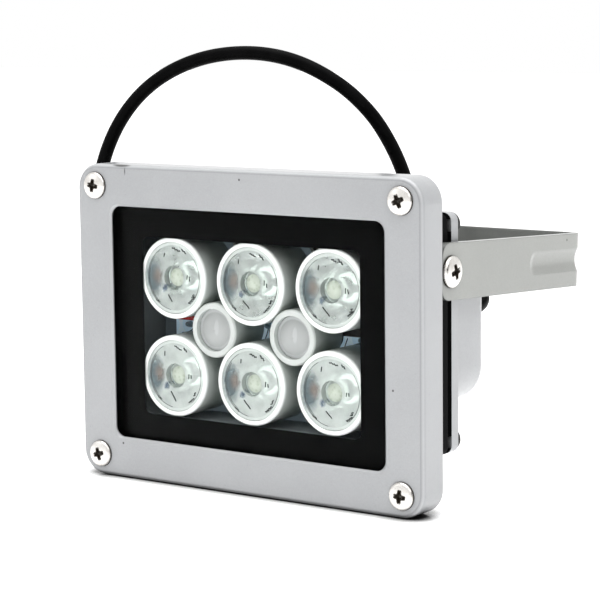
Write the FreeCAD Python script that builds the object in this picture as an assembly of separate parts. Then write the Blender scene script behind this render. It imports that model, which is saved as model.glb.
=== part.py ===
import FreeCAD
import Part
import math
import os

from FreeCAD import Rotation, Vector

# LED floodlight on a U bracket, in millimetres.
# Lamp axes: +X to the lamp's left-hand side as it shines, +Y back towards the wall, +Z up.
# The lamp is drawn with its front face at y = 0 and its lower edge at z = 0.
# Every shape is then moved so that the origin is the centre of the bracket's wall face.

# Front frame, a casting
FRAME_WIDTH = 115.0
FRAME_HEIGHT = 88.0
FRAME_CORNER_RADIUS = 7.0
FRAME_EDGE_RADIUS = 1.3
FRAME_WALL = 2.0
FRAME_FACE = 2.0
WINDOW_LIP = 1.0
BEZEL_WIDTH_X = 11.95
BEZEL_WIDTH_Z = 11.5
WINDOW_RADIUS = 3.0
WINDOW_BEVEL = 0.6
RIB_THICKNESS = 1.6
FRAME_SCREW_INSET_X = 6.65
FRAME_SCREW_INSET_Z = 6.0
PILLAR_WALL = 2.2

# Glass pane and its seal
GLASS_THICKNESS = 2.2
GLASS_OVERLAP = 3.0
GLASS_FIT = 0.4
SEAL_THICKNESS = 4.0
SEAL_WIDTH = 3.2

# Lens array: three columns and two rows of large lenses, with small ones in the two cells between
HOLDER_WALL = 1.3
HOLDER_FLOOR = 1.2
HOLDER_GAP_X = 3.8
HOLDER_GAP_Z = 4.7
SMALL_HOLDER_GAP = 0.1
SMALL_HOLDER_WALL = 1.7
ARRAY_DROP = 0.5
LENS_STANDOFF = 0.3
SMALL_LENS_SETBACK = 0.9
LENS_RECESS = 0.4
LENS_FLANGE = 1.2
LENS_FIT = 0.1
LENS_BACK_RADIUS = 4.6
BOWL_RADIUS = 3.4
BOWL_DEPTH = 2.0
BOWL_CROWN = 0.8
LED_BASE_RADIUS = 4.0
LED_BASE_HEIGHT = 1.5
LED_DOME_RADIUS = 2.6
LED_CLEARANCE = 0.5
SMALL_LED_RADIUS = 2.5
SMALL_LED_HEIGHT = 6.5
SMALL_LED_RIM = 0.4
SMALL_LED_FOOT = 1.0
SMALL_LENS_THICKNESS = 2.0
SMALL_LENS_CROWN = 1.1

# LED board
LED_BOARD_THICKNESS = 1.6
LED_BOARD_MARGIN_X = 3.0
LED_BOARD_MARGIN_Z = 0.3
LED_BOARD_CORNER_RADIUS = 4.0
LED_BOARD_SCREW_INSET = 2.6

# LED tray, a casting that closes the frame from behind
TRAY_PLATE = 2.0
TRAY_FIT = 0.3
TRAY_DEPTH = 14.7
TRAY_WALL = 2.0
TRAY_FLOOR = 3.0
CAVITY_GAP_X = 3.8
CAVITY_GAP_Z = 0.8
CAVITY_RADIUS = 5.0
HOUSING_RISE = 0.9
FLANGE_INSET_X = 6.5
FLANGE_INSET_Z = 11.85
FLANGE_STEP_X = 7.5
FLANGE_STEP_Z = 3.0
FLANGE_RADIUS = 2.5
FRAME_BOSS_WALL = 1.1
HOUSING_BOSS_WALL = 1.3
BOSS_LENGTH = 4.5
HOUSING_BOSS_LENGTH = 6.5

# Gasket and rear housing
GASKET_THICKNESS = 2.0
GASKET_BAND_X = 8.0
GASKET_BAND_Z = 7.5
HOUSING_FLANGE = 3.3
HOUSING_DEPTH = 22.2
HOUSING_HEIGHT = 42.6
HOUSING_SIDE_STEP = 3.0
HOUSING_RADIUS = 10.0
HOUSING_EDGE_RADIUS = 3.0
HOUSING_WALL = 2.5
HOUSING_SCREW_INSET = 3.3
FIN_DEPTH = 4.0
FIN_GAP = 3.0
FIN_THICKNESS = 3.0
FIN_GAP_COUNT = 11

# Driver board in the rear housing
DRIVER_SIDE_GAP = 15.5
DRIVER_HEIGHT = 30.0
DRIVER_THICKNESS = 1.6
DRIVER_SCREW_INSET = 3.5
STANDOFF_RADIUS = 3.0
STANDOFF_HEIGHT = 5.0
CAPACITOR_RADIUS = 4.0
CAPACITOR_HEIGHT = 8.2
CHOKE_RADIUS = 4.8
CHOKE_HEIGHT = 5.6
CHIP_SIDE = 7.0
CHIP_HEIGHT = 2.2

# Wires inside
INNER_WIRE_DIAMETER = 1.3
INNER_WIRE_BEND = 1.6
WIRE_CREST = 2.6
WIRE_REACH = 8.5
WIRE_HOLE_INSET = 10.2
WIRE_HOLE_RADIUS = 1.2
WIRE_ROW_OFFSET = 0.95
LINK_WIRE_REACH = 7.6
LINK_WIRE_GAP = 3.0
MIDDLE_LINK_GAP = 1.8
LEAD_BEND = 2.4
LEAD_SPACING = 2.4

# Screws: thread radius, length under the head, head radius, head height.
# The head's top bends over by a share of its radius and then crowns at a small slope.
FRAME_SCREW = (2.0, 14.0, 3.8, 1.5)
HOUSING_SCREW = (1.5, 12.0, 3.2, 2.3)
PIVOT_SCREW = (2.0, 10.8, 4.25, 1.7)
PIVOT_SHOULDER_RADIUS = 2.5
LED_BOARD_SCREW = (1.25, 3.8, 2.2, 1.5)
DRIVER_SCREW = (1.5, 5.0, 2.6, 1.8)
HEAD_BEND = 0.3
HEAD_BEND_ANGLE = 75.0
CROSS_LENGTH = 1.14
CROSS_WIDTH = 0.24
CROSS_DEPTH = 0.6
CROSS_FLOOR = 0.4
HOLE_CLEARANCE = 0.2
THREAD_CLEARANCE = 0.05
TIP_CLEARANCE = 0.4

# Pivot and U bracket, a folded strap
PIVOT_SETBACK = 7.9
PIVOT_RISE = 18.5
PIVOT_BOSS_RADIUS = 4.8
PIVOT_BOSS_REACH = 1.2
PIVOT_FIT = 0.05
WASHER_THICKNESS = 0.9
WASHER_RADIUS = 4.4
WASHER_SLIT = 0.8
STRAP_THICKNESS = 2.0
STRAP_WIDTH = 15.0
STRAP_BEND_RADIUS = 2.5
ARM_NOSE = 4.2
ARM_NOSE_RADIUS = 3.5
ARM_REACH = 70.8
BRACKET_TILT = -3.0
BEAD_DEPTH = 0.8
BEAD_WIDTH = 6.4
BEAD_LENGTH = 22.5
WALL_HOLE_RADIUS = 3.25
WALL_SLOT_RADIUS = 2.6
WALL_SLOT_LENGTH = 11.0
WALL_SLOT_OFFSET = 15.0

# Cable, grommet and connector
CABLE_DIAMETER = 4.0
GROMMET_RADIUS = 3.6
GROMMET_RISE = 2.1
GROMMET_INSET = 10.0
GROMMET_RIM_RADIUS = 5.0
GROMMET_RIM = 1.6
GROMMET_BEVEL = 0.5
GROMMET_LIP = 0.9
GROMMET_NOSE_RADIUS = 3.0
GROMMET_NOSE = 3.3
CONNECTOR_RADIUS = 4.7
CONNECTOR_BODY = 14.0
CONNECTOR_BOOT = 8.0
BOOT_WALL = 0.6
CONNECTOR_GRIPS = 4
GRIP_PITCH = 1.5
GRIP_DEPTH = 0.4
SOCKET_RADIUS = 2.75
SOCKET_DEPTH = 9.0
SOCKET_SLEEVE = 0.4
SOCKET_PIN_RADIUS = 1.05
SOCKET_PIN_LENGTH = 7.6

# The cable's route, point by point, from the grommet's tip over the lamp and down to the table behind
CABLE_ROUTE = [
    (38.0, 51.0, 47.0),
    (38.0, 58.4, 47.0),
    (34.8, 67.3, 48.7),
    (27.7, 73.5, 51.0),
    (17.8, 75.6, 55.2),
    (10.8, 74.1, 63.0),
    (8.7, 70.6, 73.4),
    (8.6, 65.1, 84.7),
    (7.2, 59.5, 93.9),
    (4.2, 55.2, 101.3),
    (-2.8, 50.7, 109.2),
    (-15.0, 46.0, 116.0),
    (-29.5, 42.5, 118.3),
    (-45.0, 39.0, 116.3),
    (-58.7, 35.5, 109.8),
    (-68.5, 32.5, 99.5),
    (-74.3, 30.0, 86.0),
    (-76.4, 29.0, 71.0),
    (-76.2, 29.5, 55.5),
    (-74.8, 32.0, 40.0),
    (-72.2, 37.0, 25.5),
    (-68.0, 44.5, 13.5),
    (-61.5, 54.8, 5.2),
    (-53.0, 64.0, 2.2),
    (-42.5, 71.0, 2.8),
    (-31.5, 74.5, 4.7),
    (-20.0, 74.5, 4.7),
]

X_AXIS = Vector(1, 0, 0)
Y_AXIS = Vector(0, 1, 0)
Z_AXIS = Vector(0, 0, 1)

# Depths of the stack, from the front face back
GLASS_FRONT_Y = WINDOW_LIP
GLASS_BACK_Y = GLASS_FRONT_Y + GLASS_THICKNESS
TRAY_FRONT_Y = GLASS_BACK_Y + SEAL_THICKNESS
FRAME_DEPTH = TRAY_FRONT_Y + TRAY_PLATE
TRAY_BACK_Y = TRAY_FRONT_Y + TRAY_DEPTH
TRAY_FLOOR_Y = TRAY_BACK_Y - TRAY_FLOOR
LED_BOARD_Y = TRAY_FLOOR_Y - LED_BOARD_THICKNESS
HOLDER_FRONT_Y = GLASS_BACK_Y + LENS_STANDOFF
SMALL_HOLDER_FRONT_Y = HOLDER_FRONT_Y + SMALL_LENS_SETBACK
LENS_FRONT_Y = HOLDER_FRONT_Y + LENS_RECESS
SMALL_LENS_FRONT_Y = SMALL_HOLDER_FRONT_Y + LENS_RECESS
LENS_SEAT_Y = LENS_FRONT_Y + LENS_FLANGE
LED_BASE_Y = LED_BOARD_Y - LED_BASE_HEIGHT
HOUSING_FRONT_Y = TRAY_BACK_Y + GASKET_THICKNESS
HOUSING_FLANGE_Y = HOUSING_FRONT_Y + HOUSING_FLANGE
HOUSING_BACK_Y = HOUSING_FRONT_Y + HOUSING_DEPTH
HOUSING_CAVITY_Y = HOUSING_BACK_Y - FIN_DEPTH - HOUSING_WALL
DRIVER_BACK_Y = HOUSING_CAVITY_Y - STANDOFF_HEIGHT
DRIVER_FRONT_Y = DRIVER_BACK_Y - DRIVER_THICKNESS

# Heights and half widths that follow from the frame, and the room they leave for the lens array
FRAME_CENTRE_Z = FRAME_HEIGHT / 2
ARRAY_CENTRE_Z = FRAME_CENTRE_Z - ARRAY_DROP
HOUSING_CENTRE_Z = FRAME_CENTRE_Z + HOUSING_RISE
FLANGE_HALF_X = FRAME_WIDTH / 2 - FLANGE_INSET_X
FLANGE_HALF_Z = FRAME_HEIGHT / 2 - FLANGE_INSET_Z
NECK_HALF_X = FLANGE_HALF_X - FLANGE_STEP_X
NECK_HALF_Z = FLANGE_HALF_Z - FLANGE_STEP_Z
CAVITY_HALF_X = NECK_HALF_X - TRAY_WALL
CAVITY_HALF_Z = NECK_HALF_Z - TRAY_WALL
ARRAY_HALF_X = CAVITY_HALF_X - CAVITY_GAP_X
ARRAY_HALF_Z = CAVITY_HALF_Z - CAVITY_GAP_Z - ARRAY_DROP - HOUSING_RISE

# The large lenses are as wide as both the array's width and its height allow
HOLDER_RADIUS = min((ARRAY_HALF_X - HOLDER_GAP_X) / 3, (ARRAY_HALF_Z - HOLDER_GAP_Z / 2) / 2)
PITCH_X = ARRAY_HALF_X - HOLDER_RADIUS
PITCH_Z = 2 * (ARRAY_HALF_Z - HOLDER_RADIUS)
CELL_DIAGONAL = math.hypot(2 * HOLDER_RADIUS + HOLDER_GAP_X, 2 * HOLDER_RADIUS + HOLDER_GAP_Z)
SMALL_HOLDER_RADIUS = CELL_DIAGONAL / 2 - HOLDER_RADIUS - SMALL_HOLDER_GAP

WINDOW_WIDTH = FRAME_WIDTH - 2 * BEZEL_WIDTH_X
WINDOW_HEIGHT = FRAME_HEIGHT - 2 * BEZEL_WIDTH_Z
WIRE_HOLE_X = ARRAY_HALF_X - WIRE_HOLE_INSET
LINK_WIRE_X = PITCH_X / 2 + SMALL_HOLDER_RADIUS + LINK_WIRE_GAP
MIDDLE_LINK_REACH = PITCH_X / 2 - SMALL_HOLDER_RADIUS - MIDDLE_LINK_GAP
HOUSING_HALF_X = FLANGE_HALF_X - HOUSING_SIDE_STEP
HOUSING_HALF_Z = HOUSING_HEIGHT / 2
DRIVER_WIDTH = 2 * (HOUSING_HALF_X - HOUSING_WALL - DRIVER_SIDE_GAP)
GROMMET_X = HOUSING_HALF_X - GROMMET_INSET
GROMMET_HEIGHT = HOUSING_CENTRE_Z + GROMMET_RISE
PIVOT_Y = FRAME_DEPTH + PIVOT_SETBACK
PIVOT_HEIGHT = FRAME_CENTRE_Z + PIVOT_RISE
ARM_INNER_X = FLANGE_HALF_X + PIVOT_BOSS_REACH + WASHER_THICKNESS + PIVOT_FIT
ARM_OUTER_X = ARM_INNER_X + STRAP_THICKNESS
WALL_CENTRE = Vector(
    0,
    PIVOT_Y + ARM_REACH * math.cos(math.radians(BRACKET_TILT)),
    PIVOT_HEIGHT + ARM_REACH * math.sin(math.radians(BRACKET_TILT)),
)


def rounded_face(half_x, half_z, radius, y, centre_z):
    """A rounded rectangle that faces along Y."""
    corners = []
    for sign_x, sign_z, start in ((1, 1, 0), (-1, 1, 90), (-1, -1, 180), (1, -1, 270)):
        centre = Vector(sign_x * (half_x - radius), y, centre_z + sign_z * (half_z - radius))
        points = []
        for angle in (start, start + 45, start + 90):
            turn = math.radians(angle)
            points.append(centre + Vector(radius * math.cos(turn), 0, radius * math.sin(turn)))
        corners.append(points)
    edges = []
    for index, points in enumerate(corners):
        edges.append(Part.Arc(*points).toShape())
        edges.append(Part.LineSegment(points[2], corners[(index + 1) % 4][0]).toShape())
    return Part.Face(Part.Wire(edges))


def rounded_block(half_x, half_z, radius, front_y, back_y, centre_z):
    """A rounded rectangle that runs from front_y back to back_y."""
    face = rounded_face(half_x, half_z, radius, front_y, centre_z)
    return face.extrude(Vector(0, back_y - front_y, 0))


def post(radius, front_y, back_y, x, z):
    """A round post or hole along Y."""
    return Part.makeCylinder(radius, back_y - front_y, Vector(x, front_y, z), Y_AXIS)


def edges_at_y(shape, y):
    """The edges of a shape that lie in the plane at y."""
    found = []
    for edge in shape.Edges:
        if abs(edge.BoundBox.YMin - y) < 1e-6 and edge.BoundBox.YLength < 1e-6:
            found.append(edge)
    return found


def fuse_all(shapes):
    """One solid from several."""
    return shapes[0].multiFuse(shapes[1:]).removeSplitter()


def dome(radius, rim_y, top_y):
    """A ball's arc from a rim to the axis, as three (radius, y) points."""
    rise = rim_y - top_y
    ball = (radius ** 2 + rise ** 2) / (2 * rise)
    half_angle = math.asin(radius / abs(ball)) / 2
    middle = (abs(ball) * math.sin(half_angle), top_y + ball * (1 - math.cos(half_angle)))
    return ((radius, rim_y), middle, (0, top_y))


def turned(profile, x=0, z=0):
    """A solid turned about a Y axis at x and z, from (radius, y) points and arcs of three such points."""
    edges = []
    for current, following in zip(profile, profile[1:] + profile[:1]):
        is_arc = isinstance(current[0], tuple)
        start = current[-1] if is_arc else current
        end = following[0] if isinstance(following[0], tuple) else following
        if is_arc:
            edges.append(Part.Arc(*[Vector(x + radius, y, z) for radius, y in current]).toShape())
        if start != end:
            line = Part.LineSegment(Vector(x + start[0], start[1], z), Vector(x + end[0], end[1], z))
            edges.append(line.toShape())
    return Part.Face(Part.Wire(edges)).revolve(Vector(x, 0, z), Y_AXIS, 360)


def aimed(shape, point, direction):
    """A shape drawn along +Y at the origin, put at a point and aimed along a direction."""
    placed = shape.copy()
    placed.Placement = FreeCAD.Placement(point, Rotation(Y_AXIS, direction))
    return placed


def cross_recess(head_radius, head_height, angle):
    """A cross recess whose four wings slope in towards its floor."""
    reach = CROSS_LENGTH * head_radius / 2
    width = CROSS_WIDTH * head_radius
    depth = CROSS_DEPTH * head_height
    wings = []
    for turn in (angle, angle + 90):
        wing = Part.makeBox(2 * reach, 2 * depth, width, Vector(-reach, -head_height - depth, -width / 2))
        wing.rotate(Vector(0, 0, 0), Y_AXIS, turn)
        wings.append(wing)
    floor = Vector(0, depth - head_height, 0)
    funnel = Part.makeCone(CROSS_FLOOR * reach, (2 - CROSS_FLOOR) * reach, 2 * depth, floor, Y_AXIS * -1)
    return wings[0].fuse(wings[1]).common(funnel)


def pan_head_screw(size, cross_angle, shoulder=()):
    """A screw drawn along +Y, with its pan head before y = 0 and a plain shoulder where one is given."""
    thread_radius, length, head_radius, head_height = size
    bend = HEAD_BEND * head_radius
    bend_angle = math.radians(HEAD_BEND_ANGLE)
    crown_radius = head_radius - bend + bend * math.cos(bend_angle)
    crown_ball = crown_radius / math.cos(bend_angle)
    crown_y = crown_ball * (1 - math.sin(bend_angle)) - head_height
    rim_y = crown_y + bend * math.sin(bend_angle)
    bend_middle = (
        head_radius - bend + bend * math.cos(bend_angle / 2),
        rim_y - bend * math.sin(bend_angle / 2),
    )
    shank = [(0, length), (thread_radius, length)]
    if shoulder:
        radius, depth = shoulder
        shank += [(thread_radius, depth), (radius, depth), (radius, 0)]
    else:
        shank += [(thread_radius, 0)]
    head = [
        (head_radius, 0),
        ((head_radius, rim_y), bend_middle, (crown_radius, crown_y)),
        dome(crown_radius, crown_y, -head_height),
    ]
    return turned(shank + head).cut(cross_recess(head_radius, head_height, cross_angle))


def screw_set(size, seats, direction, cross_angles):
    """Alike screws as one group of solids, with heads on their seats and shanks along a direction."""
    screws = []
    for seat, cross_angle in zip(seats, cross_angles):
        screws.append(aimed(pan_head_screw(size, cross_angle), seat, direction))
    return Part.Compound(screws)


def four_corners(half_x, half_z, y, centre_z):
    """The four corner points of a rectangle in the plane at y."""
    return [Vector(sx * half_x, y, centre_z + sz * half_z) for sx in (-1, 1) for sz in (-1, 1)]


def tube(points, diameter, radii):
    """A round cord through straight runs joined by tangent arcs, and its length."""
    edges = []
    start = points[0]
    length = 0.0
    for before, corner, after, radius in zip(points, points[1:], points[2:], radii):
        incoming = (corner - before).normalize()
        outgoing = (after - corner).normalize()
        turn = incoming.getAngle(outgoing)
        setback = radius * math.tan(turn / 2)
        arc_start = corner - incoming * setback
        arc_end = corner + outgoing * setback
        inward = (outgoing - incoming).normalize()
        middle = corner + inward * (radius / math.cos(turn / 2) - radius)
        edges.append(Part.LineSegment(start, arc_start).toShape())
        edges.append(Part.Arc(arc_start, middle, arc_end).toShape())
        length += (arc_start - start).Length + radius * turn
        start = arc_end
    edges.append(Part.LineSegment(start, points[-1]).toShape())
    length += (points[-1] - start).Length
    section = Part.Wire(Part.makeCircle(diameter / 2, points[0], points[1] - points[0]))
    return Part.Wire(edges).makePipeShell([section], True, False), length


def free_radii(points):
    """The largest arc that each corner's two runs allow."""
    radii = []
    for before, corner, after in zip(points, points[1:], points[2:]):
        run = min((corner - before).Length, (after - corner).Length)
        turn = (corner - before).getAngle(after - corner)
        radii.append(0.45 * run / math.tan(turn / 2))
    return radii


def frame_screw_points(y):
    half_x = FRAME_WIDTH / 2 - FRAME_SCREW_INSET_X
    half_z = FRAME_HEIGHT / 2 - FRAME_SCREW_INSET_Z
    return four_corners(half_x, half_z, y, FRAME_CENTRE_Z)


def housing_screw_points(y):
    half_x = FLANGE_HALF_X - HOUSING_SCREW_INSET
    half_z = FLANGE_HALF_Z - HOUSING_SCREW_INSET
    return four_corners(half_x, half_z, y, HOUSING_CENTRE_Z)


def led_board_screw_points(y):
    half_z = ARRAY_HALF_Z + LED_BOARD_MARGIN_Z - LED_BOARD_SCREW_INSET
    return four_corners(PITCH_X / 2, half_z, y, ARRAY_CENTRE_Z)


def driver_screw_points(y):
    half_x = DRIVER_WIDTH / 2 - DRIVER_SCREW_INSET
    half_z = DRIVER_HEIGHT / 2 - DRIVER_SCREW_INSET
    return four_corners(half_x, half_z, y, HOUSING_CENTRE_Z)


def wire_hole_points(y):
    """Where the red wire, on the left, and the blue one pass the LED board."""
    return [
        Vector(-WIRE_HOLE_X, y, ARRAY_CENTRE_Z + WIRE_ROW_OFFSET),
        Vector(WIRE_HOLE_X, y, ARRAY_CENTRE_Z - WIRE_ROW_OFFSET),
    ]


def pane_half_sizes(margin):
    return (
        WINDOW_WIDTH / 2 + GLASS_OVERLAP + margin,
        WINDOW_HEIGHT / 2 + GLASS_OVERLAP + margin,
        WINDOW_RADIUS + GLASS_OVERLAP + margin,
    )


def front_frame():
    """The cast ring: rounded face, deep skirt, rib round the pane and four screw pillars."""
    half_x = FRAME_WIDTH / 2
    half_z = FRAME_HEIGHT / 2
    body = rounded_block(half_x, half_z, FRAME_CORNER_RADIUS, 0, FRAME_DEPTH, FRAME_CENTRE_Z)
    body = body.makeFillet(FRAME_EDGE_RADIUS, edges_at_y(body, 0))
    inner_radius = FRAME_CORNER_RADIUS - FRAME_WALL
    inside = rounded_block(
        half_x - FRAME_WALL, half_z - FRAME_WALL, inner_radius, FRAME_FACE, FRAME_DEPTH + 1, FRAME_CENTRE_Z
    )
    rib = rounded_block(
        *pane_half_sizes(GLASS_FIT + RIB_THICKNESS), FRAME_FACE / 2, TRAY_FRONT_Y, FRAME_CENTRE_Z
    )
    parts = [body.cut(inside), rib]
    hole_radius = FRAME_SCREW[0] + HOLE_CLEARANCE
    for point in frame_screw_points(FRAME_FACE / 2):
        parts.append(post(hole_radius + PILLAR_WALL, point.y, TRAY_FRONT_Y, point.x, point.z))
    frame = fuse_all(parts)
    recess = rounded_block(*pane_half_sizes(GLASS_FIT), WINDOW_LIP, TRAY_FRONT_Y + 1, FRAME_CENTRE_Z)
    window = rounded_block(
        WINDOW_WIDTH / 2, WINDOW_HEIGHT / 2, WINDOW_RADIUS, -1, FRAME_FACE + 1, FRAME_CENTRE_Z
    )
    frame = frame.cut(recess).cut(window)
    rim = []
    for edge in edges_at_y(frame, 0):
        box = edge.BoundBox
        if max(abs(box.XMin), abs(box.XMax)) < WINDOW_WIDTH / 2 + 0.01:
            if abs(box.ZMin - FRAME_CENTRE_Z) < WINDOW_HEIGHT / 2 + 0.01:
                rim.append(edge)
    frame = frame.makeChamfer(WINDOW_BEVEL, rim)
    for point in frame_screw_points(-1):
        frame = frame.cut(post(hole_radius, point.y, TRAY_FRONT_Y + 1, point.x, point.z))
    return frame


def glass_pane():
    return rounded_block(*pane_half_sizes(0), GLASS_FRONT_Y, GLASS_BACK_Y, FRAME_CENTRE_Z)


def glass_seal():
    """A flat ring between the pane and the tray."""
    outer = rounded_block(*pane_half_sizes(0), GLASS_BACK_Y, TRAY_FRONT_Y, FRAME_CENTRE_Z)
    inner = rounded_block(*pane_half_sizes(-SEAL_WIDTH), GLASS_BACK_Y - 1, TRAY_FRONT_Y + 1, FRAME_CENTRE_Z)
    return outer.cut(inner)


def pivot_bosses():
    """Round bosses on both sides of the tray that the pivot screws go into."""
    bosses = []
    length = boss_face_x() - CAVITY_HALF_X - TRAY_WALL / 2
    for side in (-1, 1):
        start = Vector(side * boss_face_x(), PIVOT_Y, PIVOT_HEIGHT)
        bosses.append(Part.makeCylinder(PIVOT_BOSS_RADIUS, length, start, X_AXIS * -side))
    return bosses


def led_tray():
    """The cast tray: front plate inside the frame, neck, closed floor with a flange, and bosses."""
    inset = FRAME_WALL + TRAY_FIT
    plate = rounded_block(
        FRAME_WIDTH / 2 - inset,
        FRAME_HEIGHT / 2 - inset,
        FRAME_CORNER_RADIUS - inset,
        TRAY_FRONT_Y,
        FRAME_DEPTH,
        FRAME_CENTRE_Z,
    )
    neck_radius = CAVITY_RADIUS + TRAY_WALL
    neck = rounded_block(NECK_HALF_X, NECK_HALF_Z, neck_radius, TRAY_FRONT_Y, TRAY_BACK_Y, HOUSING_CENTRE_Z)
    floor = rounded_block(
        FLANGE_HALF_X, FLANGE_HALF_Z, FLANGE_RADIUS, TRAY_FLOOR_Y, TRAY_BACK_Y, HOUSING_CENTRE_Z
    )
    parts = [plate, neck, floor] + pivot_bosses()
    for point in frame_screw_points(FRAME_DEPTH):
        radius = FRAME_SCREW[0] + FRAME_BOSS_WALL
        parts.append(post(radius, point.y, point.y + BOSS_LENGTH, point.x, point.z))
    for point in housing_screw_points(TRAY_FLOOR_Y - HOUSING_BOSS_LENGTH):
        radius = HOUSING_SCREW[0] + HOUSING_BOSS_WALL
        parts.append(post(radius, point.y, TRAY_BACK_Y, point.x, point.z))
    tray = fuse_all(parts)
    cavity = rounded_block(
        CAVITY_HALF_X, CAVITY_HALF_Z, CAVITY_RADIUS, TRAY_FRONT_Y - 1, TRAY_FLOOR_Y, HOUSING_CENTRE_Z
    )
    tray = tray.cut(cavity)
    return drill_tray(tray)


def drill_tray(tray):
    """Threaded holes for the frame, housing, pivot and board screws, and the wires' holes."""
    holes = []
    frame_tip_y = FRAME_SCREW[1] + TIP_CLEARANCE
    for point in frame_screw_points(TRAY_FRONT_Y - 1):
        depth = min(frame_tip_y, FRAME_DEPTH + BOSS_LENGTH + 1)
        holes.append(post(FRAME_SCREW[0] + THREAD_CLEARANCE, point.y, depth, point.x, point.z))
    housing_tip_y = HOUSING_FLANGE_Y - HOUSING_SCREW[1] - TIP_CLEARANCE
    for point in housing_screw_points(housing_tip_y):
        holes.append(post(HOUSING_SCREW[0] + THREAD_CLEARANCE, point.y, TRAY_BACK_Y + 1, point.x, point.z))
    board_tip_y = LED_BOARD_Y + LED_BOARD_SCREW[1] + TIP_CLEARANCE / 2
    for point in led_board_screw_points(TRAY_FLOOR_Y - 1):
        holes.append(post(LED_BOARD_SCREW[0] + THREAD_CLEARANCE, point.y, board_tip_y, point.x, point.z))
    for point in wire_hole_points(TRAY_FLOOR_Y - 1):
        holes.append(post(WIRE_HOLE_RADIUS, point.y, TRAY_BACK_Y + 1, point.x, point.z))
    pivot_depth = PIVOT_SCREW[1] + TIP_CLEARANCE
    for side in (-1, 1):
        mouth = Vector(side * pivot_seat_x(), PIVOT_Y, PIVOT_HEIGHT)
        radius = PIVOT_SCREW[0] + THREAD_CLEARANCE
        holes.append(Part.makeCylinder(radius, pivot_depth, mouth, X_AXIS * -side))
    for hole in holes:
        tray = tray.cut(hole)
    return tray


def housing_gasket():
    """The rubber band between tray and housing, notched round the housing screws."""
    outer = rounded_block(
        FLANGE_HALF_X, FLANGE_HALF_Z, FLANGE_RADIUS, TRAY_BACK_Y, HOUSING_FRONT_Y, HOUSING_CENTRE_Z
    )
    inner = rounded_block(
        FLANGE_HALF_X - GASKET_BAND_X,
        FLANGE_HALF_Z - GASKET_BAND_Z,
        CAVITY_RADIUS,
        TRAY_BACK_Y - 1,
        HOUSING_FRONT_Y + 1,
        HOUSING_CENTRE_Z,
    )
    gasket = outer.cut(inner)
    notch_radius = HOUSING_SCREW[0] + HOLE_CLEARANCE
    for point in housing_screw_points(TRAY_BACK_Y - 1):
        thickness = GASKET_THICKNESS + 2
        gasket = gasket.cut(post(notch_radius, point.y, point.y + thickness, point.x, point.z))
        notch = Part.makeBox(2 * HOUSING_SCREW_INSET, thickness, 2 * notch_radius)
        corner_x = point.x if point.x > 0 else point.x - 2 * HOUSING_SCREW_INSET
        notch.translate(Vector(corner_x, point.y, point.z - notch_radius))
        gasket = gasket.cut(notch)
    return gasket


def cooling_gaps():
    """The upright gaps between the fins on the housing's back."""
    pitch = FIN_GAP + FIN_THICKNESS
    first = -pitch * (FIN_GAP_COUNT - 1) / 2
    gaps = []
    for index in range(FIN_GAP_COUNT):
        gap = Part.makeBox(FIN_GAP, FIN_DEPTH + 1, HOUSING_HEIGHT + 2)
        corner_x = first + index * pitch - FIN_GAP / 2
        gap.translate(Vector(corner_x, HOUSING_BACK_Y - FIN_DEPTH, HOUSING_CENTRE_Z - HOUSING_HALF_Z - 1))
        gaps.append(gap)
    return gaps


def rear_housing():
    """The cast box on its flange, with fins cut into its back and standoffs inside."""
    box = rounded_block(
        HOUSING_HALF_X, HOUSING_HALF_Z, HOUSING_RADIUS, HOUSING_FRONT_Y, HOUSING_BACK_Y, HOUSING_CENTRE_Z
    )
    box = box.makeFillet(HOUSING_EDGE_RADIUS, edges_at_y(box, HOUSING_BACK_Y))
    flange = rounded_block(
        FLANGE_HALF_X, FLANGE_HALF_Z, FLANGE_RADIUS, HOUSING_FRONT_Y, HOUSING_FLANGE_Y, HOUSING_CENTRE_Z
    )
    housing = box.fuse(flange).removeSplitter()
    cavity = rounded_block(
        HOUSING_HALF_X - HOUSING_WALL,
        HOUSING_HALF_Z - HOUSING_WALL,
        HOUSING_RADIUS - HOUSING_WALL,
        HOUSING_FRONT_Y - 1,
        HOUSING_CAVITY_Y,
        HOUSING_CENTRE_Z,
    )
    housing = housing.cut(cavity)
    for point in driver_screw_points(DRIVER_BACK_Y):
        standoff = post(STANDOFF_RADIUS, point.y, HOUSING_CAVITY_Y + 0.5, point.x, point.z)
        housing = housing.fuse(standoff)
    housing = housing.removeSplitter().cut(Part.Compound(cooling_gaps()))
    screw_tip_y = DRIVER_FRONT_Y + DRIVER_SCREW[1] + TIP_CLEARANCE
    for point in driver_screw_points(DRIVER_BACK_Y - 1):
        hole = post(DRIVER_SCREW[0] + THREAD_CLEARANCE, point.y, screw_tip_y, point.x, point.z)
        housing = housing.cut(hole)
    for point in housing_screw_points(HOUSING_FRONT_Y - 1):
        hole = post(HOUSING_SCREW[0] + HOLE_CLEARANCE, point.y, HOUSING_FLANGE_Y + 1, point.x, point.z)
        housing = housing.cut(hole)
    cable_hole = post(GROMMET_RADIUS, HOUSING_CAVITY_Y - 1, HOUSING_BACK_Y + 1, GROMMET_X, GROMMET_HEIGHT)
    return housing.cut(cable_hole)


def led_board():
    """The metal-core board under the lens holders."""
    half_x = ARRAY_HALF_X + LED_BOARD_MARGIN_X
    half_z = ARRAY_HALF_Z + LED_BOARD_MARGIN_Z
    board = rounded_block(
        half_x, half_z, LED_BOARD_CORNER_RADIUS, LED_BOARD_Y, TRAY_FLOOR_Y, ARRAY_CENTRE_Z
    )
    for point in led_board_screw_points(LED_BOARD_Y - 1):
        hole = post(LED_BOARD_SCREW[0] + HOLE_CLEARANCE, point.y, TRAY_FLOOR_Y + 1, point.x, point.z)
        board = board.cut(hole)
    for point in wire_hole_points(LED_BOARD_Y - 1):
        board = board.cut(post(WIRE_HOLE_RADIUS, point.y, TRAY_FLOOR_Y + 1, point.x, point.z))
    return board


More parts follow.
